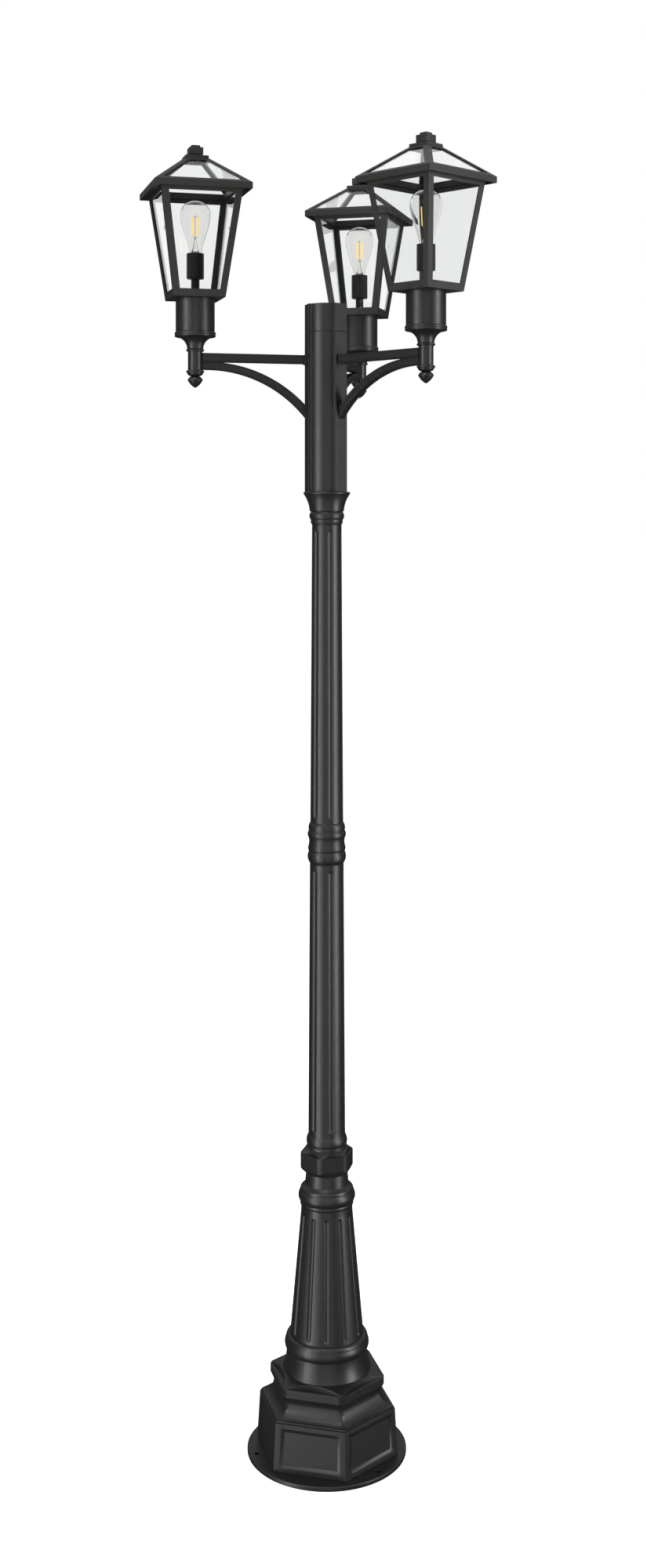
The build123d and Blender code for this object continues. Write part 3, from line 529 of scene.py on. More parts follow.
def joined(*meshes):
    """One mesh of several, each already in its place."""
    whole = bpy.data.meshes.new("shape")
    with edited(whole) as work:
        for mesh in meshes:
            work.from_mesh(mesh)
    return whole


def moved(mesh, matrix):
    copy = mesh.copy()
    copy.transform(matrix)
    return copy


def lifted(mesh, height):
    return moved(mesh, Matrix.Translation((0, 0, height)))


DOUBLES = 0.002                        # points nearer than this are one
FLAT = radians(0.5)                    # faces that turn less than this are one
ROUNDED = 28                           # edges sharper than this many degrees are rounded
CRISP = 35                             # edges sharper than this many degrees shade crisp


def tidied(mesh, edge=0.0, angle=ROUNDED):
    """Merge doubles, turn faces outwards, round the edges and shade smooth between them."""
    with edited(mesh) as work:
        bmesh.ops.remove_doubles(work, verts=work.verts, dist=DOUBLES)
        bmesh.ops.dissolve_degenerate(work, edges=work.edges, dist=DOUBLES / 2)
        bmesh.ops.recalc_face_normals(work, faces=work.faces)
    if edge:
        shown = placed("work", mesh)
        bevel = shown.modifiers.new("edge", "BEVEL")
        bevel.width = edge
        bevel.segments = 3
        bevel.limit_method = "ANGLE"
        bevel.angle_limit = radians(angle)
        mesh = evaluated_mesh(shown)
    mesh.polygons.foreach_set("use_smooth", [True] * len(mesh.polygons))
    mesh.set_sharp_from_angle(angle=radians(CRISP))
    shown = placed("work", mesh)
    weighted = shown.modifiers.new("shade", "WEIGHTED_NORMAL")
    weighted.keep_sharp = True
    return evaluated_mesh(shown)


def node_copy(node, edge=0.0, angle=ROUNDED):
    """Merged copy of a CAD node in millimetres, with its edges rounded."""
    mesh = frame["nodes"][node].data.copy()
    mesh.transform(Matrix.Scale(1 / MM, 4))
    with edited(mesh) as work:
        bmesh.ops.remove_doubles(work, verts=work.verts, dist=DOUBLES)
        bmesh.ops.dissolve_limit(work, angle_limit=FLAT, verts=work.verts, edges=work.edges)
    return tidied(mesh, edge, angle)


def piece(name, mesh, body="post", slot="post_coat", replaced=None):
    """Put a finished mesh, still in millimetres, on a body in place of a CAD node."""
    mesh = moved(mesh, Matrix.Scale(MM, 4))
    mesh.materials.clear()
    mesh.materials.append(FINISHES[slot])
    shown = placed(f"visible_{name}", mesh)
    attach(shown, body)
    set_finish(shown, slot)
    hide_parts(replaced or name)


def side_pieces(name, mesh, body, slot, out=True, replaced=None):
    """The same piece on each arm or lantern; drawn about the lantern's axis, or the post's."""
    for side, angle in ARM_ANGLES.items():
        place = Matrix.Rotation(radians(angle), 4, "Z")
        if out:
            place = place @ Matrix.Translation((ARM_REACH, 0, 0))
        rides = "post" if body == "post" else f"{side}_{body}"
        piece(f"{side}_{name}", moved(mesh, place), rides, slot, f"{side}_{replaced or name}")


# ---- post ---------------------------------------------------------------------------------
FACE_TURN = ARM_ANGLES["right"]        # a face of the pedestal and of the hub looks along each arm
piece("ground_plate", node_copy("ground_plate", edge=0.9))

BOX_LOW, BOX_HIGH = 135.1, 129.9       # from the axis to a face, at the box's foot and head
PANEL_SIDE, PANEL_FOOT, PANEL_HEAD = 12, 11, 9     # plain frame round a sunk panel
PANEL_DEEP, PANEL_BEVEL = 3, 6.7       # the panel's depth and the slope round it
CAST_WALL = 6
INNER_SHARES = (-1, -0.8, -0.7, 0.7, 0.8, 1)       # points of the inner wall, across a face


def box_sector():
    """One face of the hexagonal box: plain frame, sloping edge and sunk panel."""
    rows = []
    rises = (0, PANEL_FOOT, PANEL_FOOT + PANEL_BEVEL)
    falls = (PANEL_HEAD + PANEL_BEVEL, PANEL_HEAD, 0)
    heights = [Z_BOX + rise for rise in rises] + [Z_COVE - fall for fall in falls]
    for index, height in enumerate(heights):
        apothem = BOX_LOW + (BOX_HIGH - BOX_LOW) * (height - Z_BOX) / (Z_COVE - Z_BOX)
        half = apothem * HEXAGON_HALF
        strip = half - PANEL_SIDE
        floor = PANEL_DEEP if index in (2, 3) else 0
        rows.append([
            (apothem, -half, height),
            (apothem, -strip, height),
            (apothem - floor, -strip + PANEL_BEVEL, height),
            (apothem - floor, strip - PANEL_BEVEL, height),
            (apothem, strip, height),
            (apothem, half, height),
        ])
    for apothem, height in ((BOX_HIGH - CAST_WALL, Z_COVE), (BOX_LOW - CAST_WALL, Z_BOX)):
        half = apothem * HEXAGON_HALF
        rows.append([(apothem, half * share, height) for share in INNER_SHARES])
    return skin(rows, wrap_columns=False)


box = tidied(ring_of(box_sector(), 6, FACE_TURN), edge=0.7, angle=18)
piece("pedestal_box", box)

# Under its lip the cove swells a little, so that the lip's underside runs into it softly.
SWELL_FOOT, LIP_FOOT, COVE_TOP, LIP_SWELL = 134, 148, 105, 2.2
SLACK = 0.5                            # takes in the lip's own points
OUTSIDE = COVE_TOP - 2                 # radius that only the outer skin lies beyond
crown = node_copy("pedestal_crown")
for vert in crown.vertices:
    if SWELL_FOOT < vert.co.z <= LIP_FOOT + SLACK and hypot(vert.co.x, vert.co.y) > OUTSIDE:
        share = (vert.co.z - SWELL_FOOT) / (LIP_FOOT - SWELL_FOOT)
        widen = 1 + LIP_SWELL / COVE_TOP * share**2
        vert.co.x *= widen
        vert.co.y *= widen
piece("pedestal_crown", tidied(crown, edge=1.8))

# Fluted pedestal.  Outlines are (radius, height) points.
FOOT_BORE, SHAFT_BORE = 30.5, 26.5     # bores below and above the coupling
CONE_FOOT, CONE_TOP, CONE_BORE, NECK_BORE = 78.4, 55, 72.4, 82
THROAT, THROAT_TOP = 46.6, 44.7
RING_BEAD = 10                         # height of the bead on the big ring
neck = curved([
    (94, Z_NECK),
    (88, (Z_NECK + Z_RING) / 2), (86, Z_RING),
    (90, Z_RING + RING_BEAD), (87.4, Z_CONE - RING_BEAD),
    (86.6, Z_CONE - RING_BEAD / 2), (80.4, Z_CONE),
])
beads = curved([
    (CONE_TOP, 9.5),
    (57.2, 13.5), (56.2, 17.5),
    (60.9, 29), (56.8, 41.5),
    (56.4, 46), (51.5, 50.5),
], Z_CONE_TOP)
pedestal_sector = fluted(
    12,
    low=(CONE_FOOT, Z_CONE),
    high=(CONE_TOP, Z_CONE_TOP),
    inset=6,
    half=5.6,
    deep=3.2,
    before=[(CONE_BORE, Z_CONE), (NECK_BORE, Z_NECK), *neck, (CONE_FOOT, Z_CONE)],
    after=[
        (CONE_TOP, Z_CONE_TOP),
        *beads,
        (THROAT, Z_THROAT),
        (THROAT_TOP, Z_NUT),
        (FOOT_BORE, Z_NUT),
        (FOOT_BORE, Z_CONE_TOP),
    ],
)
piece("fluted_pedestal", tidied(ring_of(pedestal_sector, 12, 15)))
piece("collar_nut", node_copy("collar_nut", edge=1.5, angle=18))

# shafts
LOWER_FOOT, LOWER_TOP, UPPER_FOOT, UPPER_TOP = 39.5, 36.2, 35.3, 31.6
FOOT_BAND, FOOT_BAND_HEIGHT = 42.9, 5
SHAFT_FLUTES = dict(inset=11, half=7, deep=3)
foot_ring = curved([(41.9, 6), (43.7, 13.3), (LOWER_FOOT, Z_LOWER - Z_FOOT)], Z_FOOT)
lower_sector = fluted(
    6,
    low=(LOWER_FOOT, Z_LOWER),
    high=(LOWER_TOP, Z_COUPLING),
    before=[
        (FOOT_BORE, Z_FOOT),
        (FOOT_BAND, Z_FOOT),
        (FOOT_BAND, Z_FOOT + FOOT_BAND_HEIGHT),
        *foot_ring,
    ],
    after=[(LOWER_TOP, Z_COUPLING), (FOOT_BORE, Z_COUPLING)],
    **SHAFT_FLUTES,
)
piece("lower_shaft", tidied(ring_of(lower_sector, 6)))
upper_sector = fluted(
    6,
    low=(UPPER_FOOT, Z_UPPER),
    high=(UPPER_TOP, Z_CAPITAL),
    before=[(SHAFT_BORE, Z_UPPER), (UPPER_FOOT, Z_UPPER)],
    after=[(UPPER_TOP, Z_CAPITAL), (SHAFT_BORE, Z_CAPITAL)],
    **SHAFT_FLUTES,
)
piece("upper_shaft", tidied(ring_of(upper_sector, 6)))

# coupling and capital, drawn from their feet up
BORE_STEP = Z_COUPLING + 44            # where the coupling's bore narrows
coupling = [(LOWER_TOP, 0)] + curved([
    (39.3, 6),
    (41.1, 17), (38.4, 26.5),
    (40.2, 32.5), (39.3, 38),
    (37.9, 47), (39.3, 56),
    (41.1, 63), (38.4, 70.5),
    (39.3, 77), (UPPER_FOOT, 88),
])
coupling = risen(coupling, Z_COUPLING)
coupling += [(SHAFT_BORE, Z_UPPER), (SHAFT_BORE, BORE_STEP)]
coupling += [(FOOT_BORE, BORE_STEP), (FOOT_BORE, Z_COUPLING)]
piece("shaft_coupling", tidied(turned(coupling), edge=0.6))

TENON_RADIUS, TENON_BORE, TENON_HEIGHT = 35.8, 31.8, 95    # up in the hub
PLUG_RADIUS, PLUG_BORE, PLUG_DEPTH = 26.3, 22.3, 60        # down in the shaft
capital = [(UPPER_TOP, 0), (34.5, 6)]
capital += curved([(34, 11), (37.3, 20), (34, 28.5)])
capital += curved([(36.8, 30), (42.4, 53.5), (49.4, 66), (50, 68.5), (48.5, 71)])
capital = risen(capital, Z_CAPITAL)
capital += [(TENON_RADIUS, Z_HUB), (TENON_RADIUS, Z_HUB + TENON_HEIGHT)]
capital += [(TENON_BORE, Z_HUB + TENON_HEIGHT), (PLUG_BORE, Z_CAPITAL)]
capital += [(PLUG_BORE, Z_CAPITAL - PLUG_DEPTH), (PLUG_RADIUS, Z_CAPITAL - PLUG_DEPTH)]
capital += [(PLUG_RADIUS, Z_CAPITAL)]
piece("capital", tidied(turned(capital), edge=0.5))

# hub and its cap, with a flat pad under each arm
HUB_RADIUS, HUB_BORE, PAD_FACE, PAD_HALF = 42.5, 36, 44.7, 17
CAP_THICK = 5
MIDDLE = 0.001                         # radius of the points in the middle of a closed end
HUB_STEPS = 10


def hub_row(height):
    """Third of the hub's drawn section, about the +X arm."""
    pad_turn = asin(PAD_HALF / HUB_RADIUS)
    side = [pad_turn + (tau / 6 - pad_turn) * k / HUB_STEPS for k in range(HUB_STEPS + 1)]
    half = [(PAD_FACE, PAD_HALF)] + [(HUB_RADIUS * cos(a), HUB_RADIUS * sin(a)) for a in side]
    points = [(x, -y) for x, y in reversed(half)] + half
    return [(x, y, height) for x, y in points]


def bore_row(height, radius=HUB_BORE):
    """The same points drawn in to a circle."""
    return [(radius * x / hypot(x, y), radius * y / hypot(x, y), z) for x, y, z in hub_row(height)]


hub_rows = [bore_row(Z_HUB), hub_row(Z_HUB), hub_row(Z_CAP), bore_row(Z_CAP)]
hub_sector = skin(hub_rows, wrap_columns=False)
piece("hub", tidied(ring_of(hub_sector, 3, FACE_TURN), edge=0.9))
cap_rows = [
    bore_row(Z_CAP),
    hub_row(Z_CAP),
    hub_row(Z_CAP_TOP),
    bore_row(Z_CAP_TOP, MIDDLE),
    bore_row(Z_CAP_TOP - CAP_THICK, MIDDLE),
    bore_row(Z_CAP_TOP - CAP_THICK),
]
cap_sector = skin(cap_rows, wrap_columns=False)
piece("hub_cap", tidied(ring_of(cap_sector, 3, FACE_TURN), edge=1.1))


SCREW_EDGE = 0.35
KEY_SHARE, KEY_DEPTH, KEY_POINT = 0.52, 0.9, 0.3   # the socket's half width, depth and cone


def socket_screw(radius, low, high):
    """Set screw along +X with a hexagon socket in its end."""
    around = 36
    wall = radius * KEY_SHARE
    deep = high - radius * KEY_DEPTH
    rim = circle(1, around)

    def hexagon(x, y):
        turn = atan2(y, x) % (tau / 6) - tau / 12
        reach = wall * cos(tau / 12) / cos(turn)
        return x * reach, y * reach

    socket = [hexagon(x, y) for x, y in rim]
    rows = [
        [(low, 0, 0)] * around,
        [(low, x * radius, y * radius) for x, y in rim],
        [(high - SCREW_EDGE, x * radius, y * radius) for x, y in rim],
        [(high, x * (radius - SCREW_EDGE), y * (radius - SCREW_EDGE)) for x, y in rim],
        [(high, x, y) for x, y in socket],
        [(deep, x, y) for x, y in socket],
        [(deep - wall * KEY_POINT, 0, 0)] * around,
    ]
    return skin(rows, wrap_rows=False)


HUB_SCREW, HUB_SCREW_PROUD = 2.6, 0.8
SCREW_HEIGHTS = (Z_HUB + 40, Z_HUB + 75, Z_CAP + 15)
hub_screw = socket_screw(HUB_SCREW, HUB_BORE, PAD_FACE + HUB_SCREW_PROUD)
screw_column = joined(*[lifted(hub_screw, height) for height in SCREW_HEIGHTS])
piece("hub_screws", tidied(ring_of(screw_column, 3, FACE_TURN)), slot="screw_steel")

# ---- arms ---------------------------------------------------------------------------------
BAR_SIZE, BRACE_SIZE, SPINDLE_RADIUS = 18.5, 16.5, 15.3
ARM_END = ARM_REACH - SPINDLE_RADIUS + 1           # bars and braces end just inside the spindle
LINE, LINE_DEEP, LINE_EDGE = 1.6, 0.8, 2.2         # lines down a bar, and their place from its edge
BAR_FOOT, BAR_FOOT_THICK = 10.75, 5                # half side and thickness


def bar_section(size):
    """Section of a square bar with two shallow lines down each side, as (across, up)."""
    half = size / 2
    side = [
        (half, -half),
        (half, -half + LINE_EDGE - LINE / 2),
        (half - LINE_DEEP, -half + LINE_EDGE - LINE / 2),
        (half - LINE_DEEP, -half + LINE_EDGE + LINE / 2),
        (half, -half + LINE_EDGE + LINE / 2),
        (half, half - LINE_EDGE - LINE / 2),
        (half - LINE_DEEP, half - LINE_EDGE - LINE / 2),
        (half - LINE_DEEP, half - LINE_EDGE + LINE / 2),
        (half, half - LINE_EDGE + LINE / 2),
        (half, half),
    ]
    return side + [(-y, z) for y, z in reversed(side)]


def bar_mesh():
    """Level bar with a foot against the pad."""
    section = bar_section(BAR_SIZE)
    foot_face = PAD_FACE + BAR_FOOT_THICK
    ends = [[(x, y, Z_ARM + z) for y, z in section] for x in (foot_face, ARM_END)]
    bar = skin(ends, wrap_rows=False)
    with edited(bar) as work:
        bmesh.ops.holes_fill(work, edges=work.edges)
    signs = ((-1, -1), (1, -1), (1, 1), (-1, 1))
    flange = skin([
        [(PAD_FACE, 0, Z_ARM)] * 4,
        [(PAD_FACE, y * BAR_FOOT, Z_ARM + z * BAR_FOOT) for y, z in signs],
        [(foot_face, y * BAR_FOOT, Z_ARM + z * BAR_FOOT) for y, z in signs],
        [(foot_face, 0, Z_ARM)] * 4,
    ], wrap_rows=False)
    return joined(bar, flange)


side_pieces("arm_bar", tidied(bar_mesh(), edge=0.35), "post", "post_coat", out=False)

BRACE_DROP, BRACE_LEVEL = 96.5, 15
BRACE_STEPS = 32
brace_z = Z_ARM - BAR_SIZE / 2 - BRACE_SIZE / 2
brace_run = ARM_REACH - SPINDLE_RADIUS - BRACE_LEVEL - PAD_FACE
brace_radius = (brace_run**2 + BRACE_DROP**2) / (2 * BRACE_DROP)


def drawn_curve(points, closed=False):
    curve = bpy.data.curves.new("drawn", "CURVE")
    curve.dimensions = "3D"
    line = curve.splines.new("POLY")
    line.points.add(len(points) - 1)
    for point, place in zip(line.points, points):
        point.co = (*place, 1)
    line.use_cyclic_u = closed
    return curve


def brace_mesh():
    """Square bar that sweeps up from the pad and runs level to the spindle."""
    overrun, pad_sink = 10, 0.3        # the sweep starts inside the hub and is cut at the pad
    sweep = asin((brace_run + overrun) / brace_radius)
    points = []
    for k in range(BRACE_STEPS + 1):
        turn = sweep * (1 - k / BRACE_STEPS)
        out = PAD_FACE + brace_run - brace_radius * sin(turn)
        points.append((out, 0, brace_z - brace_radius * (1 - cos(turn))))
    points.append((ARM_END, 0, brace_z))
    outline = [(x / BRACE_SIZE, y / BRACE_SIZE, 0) for x, y in bar_section(BRACE_SIZE)]
    section = placed("section", drawn_curve(outline, closed=True))
    mesh = worked(drawn_curve(points), BAR, section=section, bar_size=BRACE_SIZE)
    bpy.data.objects.remove(section)
    with edited(mesh) as work:
        cut = bmesh.ops.bisect_plane(
            work,
            geom=work.verts[:] + work.edges[:] + work.faces[:],
            plane_co=(PAD_FACE - pad_sink, 0, 0),
            plane_no=(1, 0, 0),
            clear_inner=True,
        )
        rim = [edge for edge in cut["geom_cut"] if isinstance(edge, bmesh.types.BMEdge)]
        bmesh.ops.holes_fill(work, edges=rim)
    return mesh


side_pieces("arm_brace", tidied(brace_mesh(), edge=0.35), "post", "post_coat", out=False)

# spindle: lower bead, shank, upper bead, bell, rim, spigot and bore
BELL_FOOT, BELL_SWEEP, BELL_STEPS = 17, 25, 14
BEAD_HALF = 2.5                        # half height of a bead
SPIGOT_RADIUS, SPIGOT_BORE, SPIGOT_HEIGHT = 37.7, 33.7, 54
CABLE_BORE = 5
ACORN_SEAT = 9                         # the acorn's top below the lower bead
spindle = curved([
    (8.5, -ACORN_SEAT),
    (SPINDLE_RADIUS, -6.4), (BELL_FOOT, -BEAD_HALF),
    (19, 0), (SPINDLE_RADIUS, BEAD_HALF),
], Z_SPINDLE)
spindle += curved([(SPINDLE_RADIUS, -BEAD_HALF), (19, 0), (BELL_FOOT, BEAD_HALF)], Z_BELL)
for k in range(1, BELL_STEPS + 1):
    turn = k * tau / 4 / BELL_STEPS
    height = Z_BELL + BEAD_HALF + BELL_SWEEP * sin(turn)
    spindle.append((BELL_FOOT + BELL_SWEEP * (1 - cos(turn)), height))
spindle += arcs(spindle[-1], [(43.2, 2.5), (42.4, 5), (43.5, 7.5), (42.4, Z_CUP - Z_RIM)], Z_RIM)
spindle += [(SPIGOT_RADIUS, Z_CUP), (SPIGOT_RADIUS, Z_CUP + SPIGOT_HEIGHT)]
spindle += [(SPIGOT_BORE, Z_CUP + SPIGOT_HEIGHT), (SPIGOT_BORE, Z_RIM), (CABLE_BORE, Z_RIM - 12.5)]
spindle += [(CABLE_BORE, Z_SPINDLE - 5), (0, Z_SPINDLE - 5), (0, Z_SPINDLE - ACORN_SEAT)]
side_pieces("arm_spindle", tidied(turned(spindle, 72), edge=0.5), "post", "post_coat")

acorn = [(7.5, 0), (12.5, -3.2), (15.7, -8), (15.9, -9.5), (14.7, -11), (9.2, -18.5), (2.5, -24)]
z_acorn = Z_SPINDLE - ACORN_SEAT
acorn = turned([(0, z_acorn), *curved(acorn, z_acorn), (0, z_acorn - 25)], 48)
out = Matrix.Translation((ARM_REACH, 0, 0))
turns = [Matrix.Rotation(radians(angle), 4, "Z") for angle in ARM_ANGLES.values()]
acorns = joined(*[moved(acorn, turn @ out) for turn in turns])
piece("arm_finials", tidied(acorns, edge=0.3))

# ---- lanterns -----------------------------------------------------------------------------
CUP_RADIUS, CUP_BORE, CUP_FLOOR = 41, 38, 4
STUD = 4.8                             # threaded tube up the middle of the lantern
cup = [
    (CUP_BORE, Z_CUP),
    (CUP_RADIUS, Z_CUP),
    (CUP_RADIUS, Z_FLOOR),
    (STUD, Z_FLOOR),
    (STUD, Z_FLOOR - CUP_FLOOR),
    (CUP_BORE, Z_FLOOR - CUP_FLOOR),
]
side_pieces("fitter", tidied(turned(cup), edge=0.7), "lantern", "post_coat")
CUP_SCREW, CUP_SCREW_PROUD, CUP_SCREW_RISE = 2.2, 0.4, 4.6
cup_screw = socket_screw(CUP_SCREW, CUP_BORE, CUP_RADIUS + CUP_SCREW_PROUD)
cup_screw = lifted(cup_screw, Z_CUP + CUP_SCREW_RISE)
side_pieces("fitter_screws", tidied(ring_of(cup_screw, 4)), "lantern", "screw_steel")

BODY_LOW, BODY_HIGH, BODY_WALL, CORNER = 54.5, 85.5, 2.5, 14.5
SILL, HEAD = 15.5, 10                  # frame below and above each side's window
STUD_HOLE = 5
GLASS, GLASS_GAP = 3, 0.2
body_face = framed(
    (BODY_LOW, Z_FLOOR),
    (BODY_HIGH, Z_BODY_TOP),
    Z_FLOOR + SILL,
    Z_BODY_TOP - HEAD,
    CORNER,
    BODY_WALL,
)
body_floor = squared([
    (STUD_HOLE, Z_FLOOR), (BODY_LOW - 1, Z_FLOOR), (BODY_LOW - 2, Z_STEM), (STUD_HOLE, Z_STEM),
])
lantern = joined(tidied(ring_of(body_face, 4), edge=0.5), tidied(body_floor))
side_pieces("lantern_frame", lantern, "lantern", "lantern_coat")


def body_pane():
    low_rise, high_rise, side = 4, 222, 7          # the pane's ends, and its strip behind the posts
    lean = (BODY_HIGH - BODY_LOW) / (Z_BODY_TOP - Z_FLOOR)
    back = (BODY_WALL + GLASS_GAP) * sqrt(1 + lean**2)
    ends = []
    for rise in (low_rise, high_rise):
        half = BODY_LOW + lean * rise
        ends.append((half - back, half - side, Z_FLOOR + rise))
    return plate(*ends, GLASS)


side_pieces("side_panes", tidied(ring_of(body_pane(), 4), edge=0.35), "lantern", "clear_glass")

EAVE_HALF, CAP_HALF, ROOF_WALL, HIP = 102, 24.5, 2.5, 12.7
EAVE_BORDER, RIDGE_BORDER = 9, 8       # along the slope, below and above each window
FASCIA, FASCIA_WALL = 13, 2
SOFFIT_HALF, SOFFIT_LIP = 76, 12.5     # inner edge of the soffit, folded up
SOFFIT_OUT = EAVE_HALF - 0.5           # its outer edge, inside the fascia
CAP_BORE = 3.1
NUT_RADIUS, NUT_THICK = 9, 5
roof_length = hypot(EAVE_HALF - CAP_HALF, Z_RIDGE - Z_EAVE)
roof_sine = (Z_RIDGE - Z_EAVE) / roof_length
roof_face = framed(
    (EAVE_HALF, Z_EAVE),
    (CAP_HALF, Z_RIDGE),
    Z_EAVE + EAVE_BORDER * roof_sine,
    Z_RIDGE - RIDGE_BORDER * roof_sine,
    HIP,
    ROOF_WALL,
)
fascia = squared([
    (EAVE_HALF, Z_EAVE - FASCIA),
    (EAVE_HALF, Z_EAVE),
    (EAVE_HALF - FASCIA_WALL, Z_EAVE),
    (EAVE_HALF - FASCIA_WALL, Z_EAVE - FASCIA),
])
soffit = squared([
    (SOFFIT_HALF, Z_BODY_TOP),
    (SOFFIT_OUT, Z_BODY_TOP),
    (SOFFIT_OUT, Z_BODY_TOP + ROOF_WALL),
    (SOFFIT_HALF + ROOF_WALL, Z_BODY_TOP + ROOF_WALL),
    (SOFFIT_HALF + ROOF_WALL, Z_BODY_TOP + SOFFIT_LIP),
    (SOFFIT_HALF, Z_BODY_TOP + SOFFIT_LIP),
])
roof_cap = squared([
    (CAP_BORE, Z_RIDGE), (CAP_HALF, Z_RIDGE), (CAP_HALF, Z_FINIAL), (CAP_BORE, Z_FINIAL),
])
nut_plate = [(CAP_BORE, -NUT_THICK), (NUT_RADIUS, -NUT_THICK), (NUT_RADIUS, 0), (CAP_BORE, 0)]
roof_nut = turned(risen(nut_plate, Z_RIDGE), 6)
roof = joined(
    tidied(ring_of(roof_face, 4), edge=0.5),
    tidied(fascia, edge=0.4),
    tidied(soffit, edge=0.4),
    tidied(roof_cap, edge=0.7),
    tidied(roof_nut, edge=0.3),
)
side_pieces("roof_frame", roof, "roof", "lantern_coat")


def roof_pane():
    inset, lap = 3.4, 5                # from the slope's ends, and behind the hips
    slope = Vector((-(Z_RIDGE - Z_EAVE), 0, CAP_HALF - EAVE_HALF))
    inward = slope.normalized() * (ROOF_WALL + GLASS_GAP)
    ends = []
    for share in (inset / roof_length, 1 - inset / roof_length):
        half = EAVE_HALF + (CAP_HALF - EAVE_HALF) * share
        height = Z_EAVE + (Z_RIDGE - Z_EAVE) * share
        ends.append((half + inward.x, half - HIP + lap, height + inward.z))
    return plate(*ends, GLASS)


side_pieces("roof_panes", tidied(ring_of(roof_pane(), 4), edge=0.35), "roof", "clear_glass")

# neck, block and crown of the finial, and its stud through the roof's cap
finial_steps = [
    (0, 0), (8, 0), (8, 3), (14.7, 3), (14.7, 18.5), (9.2, 18.5), (9.2, 23.5), (0, 23.5),
]
finial = squared(risen(finial_steps, Z_FINIAL))
stud = turned(risen([(0, -14), (3, -14), (3, 0), (0, 0)], Z_FINIAL), 32)
whole_finial = joined(tidied(finial, edge=0.9), tidied(stud, edge=0.4))
side_pieces("roof_finial", whole_finial, "finial", "lantern_coat")

# ---- lamps --------------------------------------------------------------------------------
STEM_TAIL = 9                          # the threaded tube's end below the lantern's floor
STEM_RADIUS, STEM_BORE = 8.75, 3
stem = [
    (STEM_BORE, Z_FLOOR - STEM_TAIL),
    (STUD, Z_FLOOR - STEM_TAIL),
    (STUD, Z_STEM),
    (STEM_RADIUS, Z_STEM),
    (STEM_RADIUS, Z_SOCKET),
    (STEM_BORE, Z_SOCKET),
]
nut = turned([
    (STUD, Z_FLOOR - STEM_TAIL),
    (NUT_RADIUS, Z_FLOOR - STEM_TAIL),
    (NUT_RADIUS, Z_FLOOR - CUP_FLOOR),
    (STUD, Z_FLOOR - CUP_FLOOR),
], 6)
whole_stem = joined(tidied(turned(stem, 48), edge=0.4), tidied(nut, edge=0.4))
side_pieces("lamp_stem", whole_stem, "lantern", "post_coat")

HOLDER, HOLDER_LINE, HOLDER_BORE, HOLDER_DEEP = 18.25, 17.9, 13.5, 27.5
holder = risen([
    (0, 0),
    (16.8, 0),
    (HOLDER, 1.5),
    (HOLDER, 38),
    (HOLDER_LINE, 38.6),
    (HOLDER_LINE, 39.6),
    (HOLDER, 40.2),
], Z_SOCKET)
holder += [(HOLDER, Z_BULB), (HOLDER_BORE, Z_BULB), (HOLDER_BORE, Z_BULB - HOLDER_DEEP)]
holder += [(0, Z_BULB - HOLDER_DEEP)]
side_pieces("lamp_socket", tidied(turned(holder, 64), edge=0.35), "lantern", "socket_black")

bulb_seat = Z_BULB + 0.3               # the screw cap's top, just proud of its holder


def threaded_cap():
    """Screw cap with a rolled thread, an insulator and a contact."""
    around, per_turn, pitch, turns = 48, 8, 3.6, 5
    root, crest, rim = 12.1, 1.0, 12.9             # radii of the thread, and of the top
    thread_depth = 20.5                            # the thread's start below the holder's top
    contact = ((4.4, 0.1), (5.0, 1.0), (8.0, 4.0), (11.6, 6.5))
    unit = circle(1, around)
    foot = Z_BULB - HOLDER_DEEP
    rows = [[(0, 0, foot + 0.1)] * around]
    rows += [[(radius * x, radius * y, foot + rise) for x, y in unit] for radius, rise in contact]
    for k in range(per_turn * turns + 1):
        height = Z_BULB - thread_depth + pitch * k / per_turn
        row = []
        for i, (x, y) in enumerate(unit):
            radius = root + crest * (0.5 + 0.5 * cos(tau * (k / per_turn - i / around)))
            row.append((radius * x, radius * y, height))
        rows.append(row)
    rows.append([(rim * x, rim * y, bulb_seat) for x, y in unit])
    rows.append([(0, 0, bulb_seat)] * around)
    return skin(rows, wrap_rows=False)


side_pieces("bulb_cap", tidied(threaded_cap()), "bulb", "cap_nickel")

BULB_RADIUS, BULB_HEIGHT, BULB_BELLY, BULB_NECK, BULB_WALL = 32, 111, 83, 12.6, 0.8


def bezier(p0, p1, p2, p3, steps):
    points = []
    for k in range(steps + 1):
        t = k / steps
        a, b, c, d = (1 - t) ** 3, 3 * t * (1 - t) ** 2, 3 * t * t * (1 - t), t**3
        points.append(tuple(a * w + b * x + c * y + d * z for w, x, y, z in zip(p0, p1, p2, p3)))
    return points


def pear(inset):
    """Outline of the bulb's glass, set in by a wall or not."""
    side, top = BULB_RADIUS - inset, BULB_HEIGHT - inset
    belly = (side, BULB_BELLY)
    lower = bezier((BULB_NECK - inset, 0.2), (16.5 - inset, 30), (side, 52), belly, 20)
    upper = bezier(belly, (side, 98), (18, top), (0, top), 14)
    return risen(lower + upper[1:], bulb_seat)


envelope = pear(0) + list(reversed(pear(BULB_WALL)))
side_pieces("bulb_glass", tidied(turned(envelope, 64)), "bulb", "bulb_glass")


def rod(start, end, radius, around=10):
    """Round rod between two points, closed at both ends."""
    start, end = Vector(start), Vector(end)
    turn = (end - start).to_track_quat("Z", "Y").to_matrix()
    rim = [turn @ Vector((x, y, 0)) for x, y in circle(radius, around)]
    rows = [[start] * around, [start + c for c in rim], [end + c for c in rim], [end] * around]
    return skin([[tuple(v) for v in row] for row in rows], wrap_rows=False)


